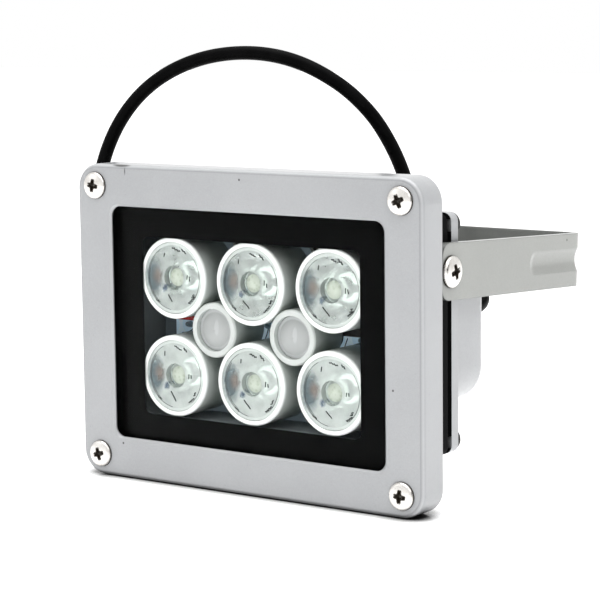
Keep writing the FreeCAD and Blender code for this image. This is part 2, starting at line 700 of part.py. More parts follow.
def large_cells():
    """The x and z of each large lens, row by row from the top left."""
    cells = []
    for row in (1, -1):
        for column in (-1, 0, 1):
            cells.append((column * PITCH_X, ARRAY_CENTRE_Z + row * PITCH_Z / 2))
    return cells


def small_cells():
    return [(side * PITCH_X / 2, ARRAY_CENTRE_Z) for side in (-1, 1)]


def lens_holder(x, z):
    """A cup with a counterbore for the lens and a hole in its floor for the LED."""
    seat_radius = HOLDER_RADIUS - HOLDER_WALL
    floor_y = LED_BOARD_Y - HOLDER_FLOOR
    hole_radius = LED_BASE_RADIUS + 0.3
    return turned(
        [
            (seat_radius, HOLDER_FRONT_Y),
            (HOLDER_RADIUS - 0.3, HOLDER_FRONT_Y),
            (HOLDER_RADIUS, HOLDER_FRONT_Y + 0.3),
            (HOLDER_RADIUS, LED_BOARD_Y),
            (hole_radius, LED_BOARD_Y),
            (hole_radius, floor_y),
            (LENS_BACK_RADIUS + 2.6, floor_y),
            (seat_radius - 0.4, LENS_SEAT_Y),
            (seat_radius, LENS_SEAT_Y),
        ],
        x,
        z,
    )


def lens(x, z):
    """A collimator: flange, curved reflecting side, LED well behind and a bowl in front."""
    rim_radius = HOLDER_RADIUS - HOLDER_WALL - LENS_FIT
    side_radius = rim_radius - 0.6
    back_y = LED_BASE_Y - 0.3
    well_radius = LED_DOME_RADIUS + LED_CLEARANCE
    well_top_y = LED_BASE_Y - LED_DOME_RADIUS - LED_CLEARANCE
    side_middle = (0.62 * side_radius + 0.38 * LENS_BACK_RADIUS, (LENS_SEAT_Y + back_y) / 2)
    bowl_y = LENS_FRONT_Y + BOWL_DEPTH
    return turned(
        [
            dome(BOWL_RADIUS, bowl_y, bowl_y - BOWL_CROWN),
            dome(well_radius, well_top_y - BOWL_CROWN, well_top_y)[::-1],
            (well_radius, back_y),
            ((LENS_BACK_RADIUS, back_y), side_middle, (side_radius, LENS_SEAT_Y)),
            (rim_radius, LENS_SEAT_Y),
            (rim_radius, LENS_FRONT_Y),
            (BOWL_RADIUS, LENS_FRONT_Y),
        ],
        x,
        z,
    )


def led(x, z):
    """A power LED: round base with a dome on it."""
    return turned(
        [
            (0, LED_BOARD_Y),
            (LED_BASE_RADIUS, LED_BOARD_Y),
            (LED_BASE_RADIUS, LED_BASE_Y + 0.5),
            (LED_BASE_RADIUS - 0.5, LED_BASE_Y),
            dome(LED_DOME_RADIUS, LED_BASE_Y, LED_BASE_Y - LED_DOME_RADIUS),
        ],
        x,
        z,
    )


def small_holder(x, z):
    """A white ring-shaped cup with a seat for the frosted lens."""
    seat_radius = SMALL_HOLDER_RADIUS - SMALL_HOLDER_WALL
    seat_y = SMALL_LENS_FRONT_Y + SMALL_LENS_THICKNESS
    return turned(
        [
            (seat_radius, SMALL_HOLDER_FRONT_Y),
            (SMALL_HOLDER_RADIUS - 0.4, SMALL_HOLDER_FRONT_Y),
            (SMALL_HOLDER_RADIUS, SMALL_HOLDER_FRONT_Y + 0.4),
            (SMALL_HOLDER_RADIUS, LED_BOARD_Y),
            (seat_radius - 0.9, LED_BOARD_Y),
            (seat_radius - 0.9, seat_y),
            (seat_radius, seat_y),
        ],
        x,
        z,
    )


def small_lens(x, z):
    """A frosted disc with a crowned front."""
    radius = SMALL_HOLDER_RADIUS - SMALL_HOLDER_WALL - LENS_FIT
    back_y = SMALL_LENS_FRONT_Y + SMALL_LENS_THICKNESS
    crown = dome(radius, SMALL_LENS_FRONT_Y + SMALL_LENS_CROWN, SMALL_LENS_FRONT_Y)
    return turned([(0, back_y), (radius, back_y), crown], x, z)


def small_led(x, z):
    """A round-topped through-hole LED with a rim at its foot."""
    top_y = LED_BOARD_Y - SMALL_LED_HEIGHT
    foot_y = LED_BOARD_Y - SMALL_LED_FOOT
    return turned(
        [
            (0, LED_BOARD_Y),
            (SMALL_LED_RADIUS + SMALL_LED_RIM, LED_BOARD_Y),
            (SMALL_LED_RADIUS + SMALL_LED_RIM, foot_y),
            (SMALL_LED_RADIUS, foot_y),
            dome(SMALL_LED_RADIUS, top_y + SMALL_LED_RADIUS, top_y),
        ],
        x,
        z,
    )


def driver_board():
    board = rounded_block(
        DRIVER_WIDTH / 2, DRIVER_HEIGHT / 2, 1.0, DRIVER_FRONT_Y, DRIVER_BACK_Y, HOUSING_CENTRE_Z
    )
    for point in driver_screw_points(DRIVER_FRONT_Y - 1):
        hole = post(DRIVER_SCREW[0] + HOLE_CLEARANCE, point.y, DRIVER_BACK_Y + 1, point.x, point.z)
        board = board.cut(hole)
    return board


def driver_capacitor():
    """A round capacitor that stands on the driver board."""
    x = -DRIVER_WIDTH / 8
    z = HOUSING_CENTRE_Z - DRIVER_HEIGHT / 6
    can = post(CAPACITOR_RADIUS, DRIVER_FRONT_Y - CAPACITOR_HEIGHT, DRIVER_FRONT_Y, x, z)
    top = edges_at_y(can, DRIVER_FRONT_Y - CAPACITOR_HEIGHT)
    return can.makeFillet(0.5, top)


def driver_choke():
    """A wound choke: a spool between two round cheeks."""
    back_y = DRIVER_FRONT_Y
    front_y = back_y - CHOKE_HEIGHT
    core = CHOKE_RADIUS - 0.9
    return turned(
        [
            (0, back_y),
            (CHOKE_RADIUS, back_y),
            (CHOKE_RADIUS, back_y - 1.0),
            (core, back_y - 1.0),
            (core, front_y + 1.0),
            (CHOKE_RADIUS, front_y + 1.0),
            (CHOKE_RADIUS, front_y),
            (0, front_y),
        ],
        DRIVER_WIDTH / 5,
        HOUSING_CENTRE_Z + DRIVER_HEIGHT / 10,
    )


def driver_chip():
    chip = Part.makeBox(CHIP_SIDE, CHIP_HEIGHT, CHIP_SIDE)
    corner_z = HOUSING_CENTRE_Z + DRIVER_HEIGHT / 6 - CHIP_SIDE / 2
    chip.translate(Vector(-CHIP_SIDE / 2, DRIVER_FRONT_Y - CHIP_HEIGHT, corner_z))
    return chip


def inner_wire(hole):
    """A wire from the driver board forward through the floor, bent outwards and down to its pad."""
    side = 1 if hole.x > 0 else -1
    crest_y = LED_BOARD_Y - WIRE_CREST
    pad_x = hole.x + side * WIRE_REACH
    route = [
        Vector(hole.x, DRIVER_FRONT_Y, hole.z),
        Vector(hole.x, crest_y, hole.z),
        Vector(pad_x, crest_y, hole.z),
        Vector(pad_x, LED_BOARD_Y, hole.z),
    ]
    return tube(route, INNER_WIRE_DIAMETER, [INNER_WIRE_BEND, INNER_WIRE_BEND])[0]


def link_wires():
    """Two short wires that bridge pads on the LED board, at the left and in the middle."""
    low = ARRAY_CENTRE_Z - WIRE_ROW_OFFSET
    high = ARRAY_CENTRE_Z + WIRE_ROW_OFFSET
    ends = [
        ((-LINK_WIRE_X, low), (-LINK_WIRE_X - LINK_WIRE_REACH, low)),
        ((-MIDDLE_LINK_REACH, high), (MIDDLE_LINK_REACH, low)),
    ]
    crest_y = LED_BOARD_Y - WIRE_CREST
    links = []
    for (start_x, start_z), (end_x, end_z) in ends:
        route = [
            Vector(start_x, LED_BOARD_Y, start_z),
            Vector(start_x, crest_y, start_z),
            Vector(end_x, crest_y, end_z),
            Vector(end_x, LED_BOARD_Y, end_z),
        ]
        links.append(tube(route, INNER_WIRE_DIAMETER, [INNER_WIRE_BEND, INNER_WIRE_BEND])[0])
    return Part.Compound(links)


def supply_leads():
    """Two leads from the cable's inner end to the driver board."""
    leads = []
    start_y = HOUSING_CAVITY_Y - GROMMET_RIM
    crest_y = DRIVER_FRONT_Y - CHOKE_HEIGHT
    land_x = DRIVER_WIDTH / 2 - 2 * DRIVER_SCREW_INSET
    for offset in (-LEAD_SPACING / 2, LEAD_SPACING / 2):
        z = GROMMET_HEIGHT + offset
        route = [
            Vector(GROMMET_X, start_y, z),
            Vector(GROMMET_X, crest_y, z),
            Vector(land_x, crest_y, z),
            Vector(land_x, DRIVER_FRONT_Y, z),
        ]
        leads.append(tube(route, INNER_WIRE_DIAMETER, [LEAD_BEND, LEAD_BEND])[0])
    return Part.Compound(leads)


def cable_grommet():
    """The rubber bush: inner lip, body through the wall, rim and short tapered nose."""
    lip_y = HOUSING_CAVITY_Y - GROMMET_RIM
    rim_y = HOUSING_BACK_Y + GROMMET_RIM
    return turned(
        [
            (0, lip_y),
            (GROMMET_RADIUS + GROMMET_LIP / 2, lip_y),
            (GROMMET_RADIUS + GROMMET_LIP, HOUSING_CAVITY_Y),
            (GROMMET_RADIUS, HOUSING_CAVITY_Y),
            (GROMMET_RADIUS, HOUSING_BACK_Y),
            (GROMMET_RIM_RADIUS, HOUSING_BACK_Y),
            (GROMMET_RIM_RADIUS, rim_y - GROMMET_BEVEL),
            (GROMMET_RIM_RADIUS - GROMMET_BEVEL, rim_y),
            (GROMMET_NOSE_RADIUS + 0.8, rim_y),
            (GROMMET_NOSE_RADIUS, rim_y + GROMMET_NOSE),
            (0, rim_y + GROMMET_NOSE),
        ],
        GROMMET_X,
        GROMMET_HEIGHT,
    )


def cable():
    """The free cable, from the grommet's tip to the connector."""
    points = [Vector(*point) for point in CABLE_ROUTE]
    points[0] = Vector(GROMMET_X, HOUSING_BACK_Y + GROMMET_RIM + GROMMET_NOSE, GROMMET_HEIGHT)
    points[1] = Vector(GROMMET_X, points[1].y, GROMMET_HEIGHT)
    radii = free_radii(points)
    solid, length = tube(points, CABLE_DIAMETER, radii)
    section = math.pi * CABLE_DIAMETER ** 2 / 4
    print("cable length", round(length, 1), "volume ratio", solid.Volume / (section * length))
    print("cable radii", [round(radius, 1) for radius in radii])
    return solid


def on_connector_axis(profile):
    """A solid turned about the connector's own axis, from (radius, distance along it) points."""
    return aimed(turned(profile), Vector(*CABLE_ROUTE[-1]), X_AXIS)


def connector_body():
    """A moulded socket for a round plug: tapered boot, grip rings and open mouth."""
    end = CONNECTOR_BOOT + CONNECTOR_BODY
    mouth = SOCKET_RADIUS + SOCKET_SLEEVE
    profile = [(0, 0), (CABLE_DIAMETER / 2 + BOOT_WALL, 0), (CONNECTOR_RADIUS, CONNECTOR_BOOT)]
    for index in range(CONNECTOR_GRIPS):
        along = CONNECTOR_BOOT + GRIP_PITCH * (index + 0.5)
        profile.append((CONNECTOR_RADIUS, along))
        profile.append((CONNECTOR_RADIUS - GRIP_DEPTH, along + GRIP_PITCH / 4))
        profile.append((CONNECTOR_RADIUS, along + GRIP_PITCH / 2))
    profile += [
        (CONNECTOR_RADIUS, end - GRIP_DEPTH),
        (CONNECTOR_RADIUS - GRIP_DEPTH, end),
        (mouth, end),
        (mouth, end - SOCKET_DEPTH),
        (0, end - SOCKET_DEPTH),
    ]
    return on_connector_axis(profile)


def connector_sleeve():
    """The metal sleeve that lines the socket."""
    end = CONNECTOR_BOOT + CONNECTOR_BODY
    start = end - SOCKET_DEPTH
    outer = SOCKET_RADIUS + SOCKET_SLEEVE
    return on_connector_axis([(SOCKET_RADIUS, start), (outer, start), (outer, end), (SOCKET_RADIUS, end)])


def connector_pin():
    """The pin in the socket's middle, with a round tip."""
    start = CONNECTOR_BOOT + CONNECTOR_BODY - SOCKET_DEPTH
    tip = start + SOCKET_PIN_LENGTH
    rounding = dome(SOCKET_PIN_RADIUS, tip - SOCKET_PIN_RADIUS, tip)
    return on_connector_axis([(0, start), (SOCKET_PIN_RADIUS, start), rounding])


def bead_tool(radius):
    """A round bar along both bends and their flanks, with ball ends, outside the strap's outer face."""
    reach = BEAD_WIDTH ** 2 / (8 * BEAD_DEPTH) - BEAD_DEPTH / 2
    bend_radius = STRAP_BEND_RADIUS + STRAP_THICKNESS
    corner = Vector(ARM_OUTER_X - bend_radius, ARM_REACH - bend_radius, 0)
    path_radius = bend_radius + reach
    bars = []
    for side in (-1, 1):
        arm_end = Vector(side * (corner.x + path_radius), corner.y - BEAD_LENGTH, 0)
        arc_start = Vector(side * (corner.x + path_radius), corner.y, 0)
        slant = path_radius * math.sqrt(0.5)
        arc_middle = Vector(side * (corner.x + slant), corner.y + slant, 0)
        arc_end = Vector(side * corner.x, corner.y + path_radius, 0)
        plate_end = Vector(side * (corner.x - BEAD_LENGTH), corner.y + path_radius, 0)
        path = Part.Wire(
            [
                Part.LineSegment(arm_end, arc_start).toShape(),
                Part.Arc(arc_start, arc_middle, arc_end).toShape(),
                Part.LineSegment(arc_end, plate_end).toShape(),
            ]
        )
        section = Part.Wire(Part.makeCircle(radius, arm_end, Y_AXIS))
        bar = path.makePipeShell([section], True, False)
        bars += [bar, Part.makeSphere(radius, arm_end), Part.makeSphere(radius, plate_end)]
    return fuse_all(bars)


def bracket():
    """The folded strap: two arms with rounded noses, a back plate, and a pressed bead round each bend."""
    half_width = STRAP_WIDTH / 2
    bend_radius = STRAP_BEND_RADIUS + STRAP_THICKNESS
    outer = Part.makeBox(2 * ARM_OUTER_X, ARM_REACH + ARM_NOSE, STRAP_WIDTH)
    outer.translate(Vector(-ARM_OUTER_X, -ARM_NOSE, -half_width))
    bends = [edge for edge in edges_at_y(outer, ARM_REACH) if edge.BoundBox.ZLength > 1]
    outer = outer.makeFillet(bend_radius, bends)
    noses = [edge for edge in edges_at_y(outer, -ARM_NOSE) if edge.BoundBox.XLength > 1]
    outer = outer.makeFillet(ARM_NOSE_RADIUS, noses)
    inner = Part.makeBox(2 * ARM_INNER_X, ARM_REACH + ARM_NOSE + 1 - STRAP_THICKNESS, STRAP_WIDTH + 2)
    inner.translate(Vector(-ARM_INNER_X, -ARM_NOSE - 1, -half_width - 1))
    corners = [
        edge for edge in edges_at_y(inner, ARM_REACH - STRAP_THICKNESS) if edge.BoundBox.ZLength > 1
    ]
    inner = inner.makeFillet(STRAP_BEND_RADIUS, corners)
    groove_radius = BEAD_WIDTH ** 2 / (8 * BEAD_DEPTH) + BEAD_DEPTH / 2
    ridge = bead_tool(groove_radius + STRAP_THICKNESS).common(outer)
    strap = outer.cut(inner).fuse(ridge).removeSplitter()
    strap = strap.cut(bead_tool(groove_radius))
    return drill_bracket(strap)


def drill_bracket(strap):
    """Pivot holes in the arms, and a round hole and two slots in the back plate."""
    pivot_radius = PIVOT_SHOULDER_RADIUS + PIVOT_FIT
    length = 2 * ARM_OUTER_X + 2
    strap = strap.cut(Part.makeCylinder(pivot_radius, length, Vector(-length / 2, 0, 0), X_AXIS))
    front_y = ARM_REACH - STRAP_THICKNESS - 1
    strap = strap.cut(post(WALL_HOLE_RADIUS, front_y, ARM_REACH + 1, 0, 0))
    half_run = WALL_SLOT_LENGTH / 2 - WALL_SLOT_RADIUS
    for side in (-1, 1):
        for end in (-1, 1):
            x = side * WALL_SLOT_OFFSET + end * half_run
            strap = strap.cut(post(WALL_SLOT_RADIUS, front_y, ARM_REACH + 1, x, 0))
        middle = Part.makeBox(2 * half_run, STRAP_THICKNESS + 2, 2 * WALL_SLOT_RADIUS)
        middle.translate(Vector(side * WALL_SLOT_OFFSET - half_run, front_y, -WALL_SLOT_RADIUS))
        strap = strap.cut(middle)
    strap.rotate(Vector(0, 0, 0), X_AXIS, BRACKET_TILT)
    strap.translate(Vector(0, PIVOT_Y, PIVOT_HEIGHT))
    return strap


def boss_face_x():
    """Where the end faces of the pivot bosses lie."""
    return FLANGE_HALF_X + PIVOT_BOSS_REACH


def pivot_seat_x():
    """Where the underside of a pivot screw's head lies, a running gap outside the arm."""
    return ARM_OUTER_X + PIVOT_FIT


def pivot_screws():
    """Shoulder screws: the shoulder bears in the arm and stops on the boss."""
    shoulder = (PIVOT_SHOULDER_RADIUS, pivot_seat_x() - boss_face_x())
    screws = []
    for side, cross_angle in ((-1, 20), (1, -13.5)):
        seat = Vector(side * pivot_seat_x(), PIVOT_Y, PIVOT_HEIGHT)
        screws.append(aimed(pan_head_screw(PIVOT_SCREW, cross_angle, shoulder), seat, X_AXIS * -side))
    return Part.Compound(screws)


def pivot_washers():
    """Split spring washers between the bosses and the arms."""
    washers = []
    for side in (-1, 1):
        ring = post(WASHER_RADIUS, 0, WASHER_THICKNESS, 0, 0)
        ring = ring.cut(post(PIVOT_SHOULDER_RADIUS + HOLE_CLEARANCE, 0, WASHER_THICKNESS, 0, 0))
        slit = Part.makeBox(WASHER_RADIUS, WASHER_THICKNESS, WASHER_SLIT, Vector(0, 0, -WASHER_SLIT / 2))
        seat = Vector(side * boss_face_x(), PIVOT_Y, PIVOT_HEIGHT)
        washers.append(aimed(ring.cut(slit), seat, X_AXIS * side))
    return Part.Compound(washers)


def all_nodes():
    """Every piece by name, in the lamp's own axes."""
    nodes = {
        "front_frame": front_frame(),
        "glass_pane": glass_pane(),
        "glass_seal": glass_seal(),
        "frame_screws": screw_set(FRAME_SCREW, frame_screw_points(0), Y_AXIS, (-15, 9, 5, -23)),
        "led_tray": led_tray(),
        "led_board": led_board(),
        "led_board_screws": screw_set(
            LED_BOARD_SCREW, led_board_screw_points(LED_BOARD_Y), Y_AXIS, (10, 40, 70, 25)
        ),
        "housing_gasket": housing_gasket(),
        "rear_housing": rear_housing(),
        "housing_screws": screw_set(
            HOUSING_SCREW, housing_screw_points(HOUSING_FLANGE_Y), Y_AXIS * -1, (12, 35, 60, 80)
        ),
        "driver_board": driver_board(),
        "driver_screws": screw_set(
            DRIVER_SCREW, driver_screw_points(DRIVER_FRONT_Y), Y_AXIS, (5, 30, 50, 75)
        ),
        "driver_capacitor": driver_capacitor(),
        "driver_choke": driver_choke(),
        "driver_chip": driver_chip(),
        "supply_leads": supply_leads(),
        "cable_grommet": cable_grommet(),
        "cable": cable(),
        "connector_body": connector_body(),
        "connector_sleeve": connector_sleeve(),
        "connector_pin": connector_pin(),
        "bracket": bracket(),
        "pivot_screws": pivot_screws(),
        "pivot_washers": pivot_washers(),
    }
    red_hole, blue_hole = wire_hole_points(0)
    nodes["red_wire"] = inner_wire(red_hole)
    nodes["blue_wire"] = inner_wire(blue_hole)
    nodes["link_wires"] = link_wires()
    for number, (x, z) in enumerate(large_cells(), 1):
        nodes[f"lens_holder_{number}"] = lens_holder(x, z)
        nodes[f"lens_{number}"] = lens(x, z)
        nodes[f"led_{number}"] = led(x, z)
    for number, (x, z) in enumerate(small_cells(), 1):
        nodes[f"small_holder_{number}"] = small_holder(x, z)
        nodes[f"small_lens_{number}"] = small_lens(x, z)
        nodes[f"small_led_{number}"] = small_led(x, z)
    return nodes


os.makedirs("parts", exist_ok=True)
for name, shape in all_nodes().items():
    shape.translate(WALL_CENTRE * -1)
    shape.exportStep(f"parts/{name}.step")
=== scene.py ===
import math
import random

import bmesh
import bpy
from mathutils import Matrix, Vector


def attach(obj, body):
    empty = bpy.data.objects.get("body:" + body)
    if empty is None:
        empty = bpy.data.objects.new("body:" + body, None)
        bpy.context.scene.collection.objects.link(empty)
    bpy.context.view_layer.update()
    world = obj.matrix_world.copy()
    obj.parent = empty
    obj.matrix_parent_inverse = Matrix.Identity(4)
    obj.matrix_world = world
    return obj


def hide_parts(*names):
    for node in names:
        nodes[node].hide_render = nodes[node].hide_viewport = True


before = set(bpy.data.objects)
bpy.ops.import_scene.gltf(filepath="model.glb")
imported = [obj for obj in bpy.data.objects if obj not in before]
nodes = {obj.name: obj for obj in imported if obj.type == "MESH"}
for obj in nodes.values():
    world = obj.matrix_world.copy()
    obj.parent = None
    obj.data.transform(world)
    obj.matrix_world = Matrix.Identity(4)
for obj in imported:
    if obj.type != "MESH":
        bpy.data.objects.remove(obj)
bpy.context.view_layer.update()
scene = bpy.context.scene

# The lamp's own axes, in metres: front face at y = 0, lower edge at z = 0.
# The frame's origin is the wall plate's centre hole, which the tilted arms carry away from the pivot.
TILT = math.radians(3.0)
ARM_REACH = 0.0708
PIVOT_DEPTH = 0.0171
PIVOT_HEIGHT = 0.0625
WALL = Vector((0, PIVOT_DEPTH + ARM_REACH * math.cos(TILT), PIVOT_HEIGHT - ARM_REACH * math.sin(TILT)))


def spot(x, y, z):
    """A point given in the lamp's axes, in metres, as a point of the frame."""
    return Vector((x, y, z)) - WALL


# Camera: a three-quarter view of the lamp's front from the right and slightly above
CAMERA_AZIMUTH = math.radians(35.99)
CAMERA_HEIGHT = math.radians(7.61)
CAMERA_ROLL = math.radians(-0.64)
CAMERA_DISTANCE = 0.58015
CAMERA_TARGET = spot(0.01926, 0, 0.05461)
CAMERA_LENS = 132.88


def make_camera():
    back = Vector(
        (
            math.sin(CAMERA_AZIMUTH) * math.cos(CAMERA_HEIGHT),
            -math.cos(CAMERA_AZIMUTH) * math.cos(CAMERA_HEIGHT),
            math.sin(CAMERA_HEIGHT),
        )
    )
    right = Vector((0, 0, 1)).cross(back).normalized()
    up = back.cross(right)
    rolled_right = right * math.cos(CAMERA_ROLL) + up * math.sin(CAMERA_ROLL)
    rolled_up = up * math.cos(CAMERA_ROLL) - right * math.sin(CAMERA_ROLL)
    data = bpy.data.cameras.new("camera")
    data.sensor_width = 36
    data.lens = CAMERA_LENS
    data.clip_start = 0.01
    data.clip_end = 20
    camera = bpy.data.objects.new("camera", data)
    place = CAMERA_TARGET + back * CAMERA_DISTANCE
    axes = Matrix((rolled_right, rolled_up, back)).transposed().to_4x4()
    camera.matrix_world = Matrix.Translation(place) @ axes
    scene.collection.objects.link(camera)
    scene.camera = camera


make_camera()

# The cable: its points in the lamp's axes, in metres
CABLE_DIAMETER = 0.004
CABLE_POINTS = [
    (0.038, 0.051, 0.047),
    (0.038, 0.0584, 0.047),
    (0.0348, 0.0673, 0.0487),
    (0.0277, 0.0735, 0.051),
    (0.0178, 0.0756, 0.0552),
    (0.0108, 0.0741, 0.063),
    (0.0087, 0.0706, 0.0734),
    (0.0086, 0.0651, 0.0847),
    (0.0072, 0.0595, 0.0939),
    (0.0042, 0.0552, 0.1013),
    (-0.0028, 0.0507, 0.1092),
    (-0.015, 0.046, 0.116),
    (-0.0295, 0.0425, 0.1183),
    (-0.045, 0.039, 0.1163),
    (-0.0587, 0.0355, 0.1098),
    (-0.0685, 0.0325, 0.0995),
    (-0.0743, 0.03, 0.086),
    (-0.0764, 0.029, 0.071),
    (-0.0762, 0.0295, 0.0555),
    (-0.0748, 0.032, 0.04),
    (-0.0722, 0.037, 0.0255),
    (-0.068, 0.0445, 0.0135),
    (-0.0615, 0.0548, 0.0052),
    (-0.053, 0.064, 0.0022),
    (-0.0425, 0.071, 0.0028),
    (-0.0315, 0.0745, 0.0047),
    (-0.02, 0.0745, 0.0047),
]


def nurbs_curve(name, points, radius):
    """A round tube along one smooth open spline, its size held by the points so that its box is tight."""
    curve = bpy.data.curves.new(name, "CURVE")
    curve.dimensions = "3D"
    curve.resolution_u = 16
    curve.bevel_depth = 1.0
    curve.bevel_resolution = 8
    curve.use_fill_caps = True
    spline = curve.splines.new("NURBS")
    spline.points.add(len(points) - 1)
    for point, place in zip(spline.points, points):
        point.co = (*place, 1)
        point.radius = radius
    spline.order_u = 3
    spline.use_endpoint_u = True
    curve_object = bpy.data.objects.new(name, curve)
    scene.collection.objects.link(curve_object)
    return curve_object


def make_cable():
    points = [spot(*point) for point in CABLE_POINTS]
    cable = nurbs_curve("cable_run", points, CABLE_DIAMETER / 2)
    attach(cable, "head")
    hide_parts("cable")
    return cable


cable = make_cable()

# Short names of the surface's inputs
SURFACE_INPUTS = {
    "color": "Base Color",
    "metal": "Metallic",
    "rough": "Roughness",
    "ior": "IOR",
    "alpha": "Alpha",
    "normal": "Normal",
    "specular": "Specular IOR Level",
    "transmission": "Transmission Weight",
    "coat": "Coat Weight",
    "coat_rough": "Coat Roughness",
    "glow": "Emission Color",
    "glow_strength": "Emission Strength",
}


# Materials are node graphs over the object's own coordinates, in metres.
class Paint:
    """One material and short ways to add nodes to it."""

    def __init__(self, name):
        self.name = name
        self.material = bpy.data.materials.new(name)
        self.material.use_nodes = True
        self.tree = self.material.node_tree
        self.surface = self.tree.nodes["Principled BSDF"]

    def node(self, kind, inputs=None, **settings):
        made = self.tree.nodes.new("ShaderNode" + kind)
        for key, value in settings.items():
            setattr(made, key, value)
        for key, value in (inputs or {}).items():
            self.feed(made.inputs[key], value)
        return made

    def feed(self, socket, value):
        """Links a socket to another, or sets its constant. A colour of three numbers gets alpha 1."""
        if isinstance(value, bpy.types.NodeSocket):
            self.tree.links.new(value, socket)
        elif isinstance(value, (tuple, list)) and len(value) == 3 and len(socket.default_value) == 4:
            socket.default_value = (*value, 1)
        else:
            socket.default_value = value

    def set(self, **inputs):
        for key, value in inputs.items():
            self.feed(self.surface.inputs[SURFACE_INPUTS[key]], value)

    def place(self):
        return self.node("TexCoord").outputs["Object"]

    def own_box(self):
        """The place within the piece's own box, from 0 to 1 along each axis."""
        return self.node("TexCoord").outputs["Generated"]

    def noise(self, scale, detail=2.0, rough=0.5):
        inputs = {"Vector": self.place(), "Scale": scale, "Detail": detail, "Roughness": rough}
        return self.node("TexNoise", inputs).outputs["Fac"]

    def cells(self, scale, randomness=1.0):
        inputs = {"Vector": self.place(), "Scale": scale, "Randomness": randomness}
        return self.node("TexVoronoi", inputs).outputs["Distance"]

    def math(self, operation, first, second=0.0, clamp=False):
        made = self.node("Math", {0: first, 1: second}, operation=operation, use_clamp=clamp)
        return made.outputs[0]

    def vector(self, operation, first, second=(0.0, 0.0, 0.0)):
        return self.node("VectorMath", {0: first, 1: second}, operation=operation).outputs[0]

    def axis(self, vector, letter):
        """One of a vector's three parts."""
        return self.node("SeparateXYZ", {0: vector}).outputs[letter]

    def length(self, vector):
        return self.node("VectorMath", {0: vector}, operation="LENGTH").outputs["Value"]

    def away(self, vector, centre, size):
        """The way from a centre to a vector, in units of the given half sizes."""
        return self.vector("DIVIDE", self.vector("SUBTRACT", vector, centre), size)

    def from_axis(self):
        """The distance from a turned node's own Y axis, as a share of its radius."""
        moved = self.vector("SUBTRACT", self.own_box(), (0.5, 0.0, 0.5))
        return self.length(self.vector("MULTIPLY", moved, (2.0, 0.0, 2.0)))

    def ramp(self, value, low, high, start=0.0, end=1.0):
        inputs = {"Value": value, "From Min": low, "From Max": high, "To Min": start, "To Max": end}
        return self.node("MapRange", inputs).outputs["Result"]

    def mix(self, share, first, second):
        made = self.node("Mix", data_type="RGBA")
        self.feed(made.inputs["Factor"], share)
        self.feed(made.inputs[6], first)
        self.feed(made.inputs[7], second)
        return made.outputs[2]

    def mottle(self, scale, detail, first, second, low=0.3, high=0.7):
        """Two colours that change over in soft clouds."""
        return self.mix(self.ramp(self.noise(scale, detail), low, high), first, second)

    def uneven(self, noise, low, high):
        """A value that wanders between two limits with a noise."""
        return self.ramp(noise, 0.3, 0.7, low, high)

    def bump(self, height, distance, strength=1.0, normal=None):
        made = self.node("Bump", {"Height": height, "Distance": distance, "Strength": strength})
        if normal is not None:
            self.tree.links.new(normal, made.inputs["Normal"])
        return made.outputs["Normal"]

    def rounded(self, radius):
        return self.node("Bevel", {"Radius": radius}, samples=4).outputs["Normal"]

    def shade(self, distance, samples=8, inside=False):
        """1 in the open, less in corners and hollows of the given depth."""
        made = self.node("AmbientOcclusion", {"Distance": distance}, samples=samples, inside=inside)
        return made.outputs["AO"]

    def near(self, centre, size):
        """1 at a point of the frame, falling to 0 at the given half sizes."""
        return self.ramp(self.length(self.away(self.place(), centre, size)), 0.0, 1.0, 1.0, 0.0)

    def patch(self, vector, centre, size, strength, full=0.75):
        """Strength inside a soft-edged ellipsoid of a coordinate, 0 outside."""
        return self.ramp(self.length(self.away(vector, centre, size)), full, 1.05, strength, 0.0)


# Colours of painted shade in corners and over broad hollows, of painted reflections on rounded edges, and of
# specks and nicks in the paint
CORNER_SHADE = (0.04, 0.04, 0.04)
SPECK = (0.12, 0.12, 0.12)
NICK = (0.05, 0.05, 0.05)
HOLLOW_SHADE = (0.05, 0.055, 0.05)
EDGE_DARK_REFLECTION = (0.16, 0.165, 0.17)
EDGE_HIGHLIGHT = (0.95, 0.96, 0.97)
NICK_SIZE = (0.0004, 0.0004, 0.0004)


def painted_edge_reflections(paint, color):
    """Painted reflections on rounded edges: a thin darker line where a front face starts to round over, and
    a paler band of painted highlight on the rounding.
    """
    facing = paint.math("ABSOLUTE", paint.axis(paint.node("TexCoord").outputs["Normal"], "Y"))
    # A painted dark reflection where the face starts to round over
    line = paint.math("MULTIPLY", paint.ramp(facing, 0.86, 0.93), paint.ramp(facing, 0.995, 0.97))
    color = paint.mix(paint.math("MULTIPLY", line, 0.36), color, EDGE_DARK_REFLECTION)
    # A painted highlight on the rounding
    highlight_band = paint.math("MULTIPLY", paint.ramp(facing, 0.35, 0.55), paint.ramp(facing, 0.86, 0.74))
    return paint.mix(paint.math("MULTIPLY", highlight_band, 0.13), color, EDGE_HIGHLIGHT)


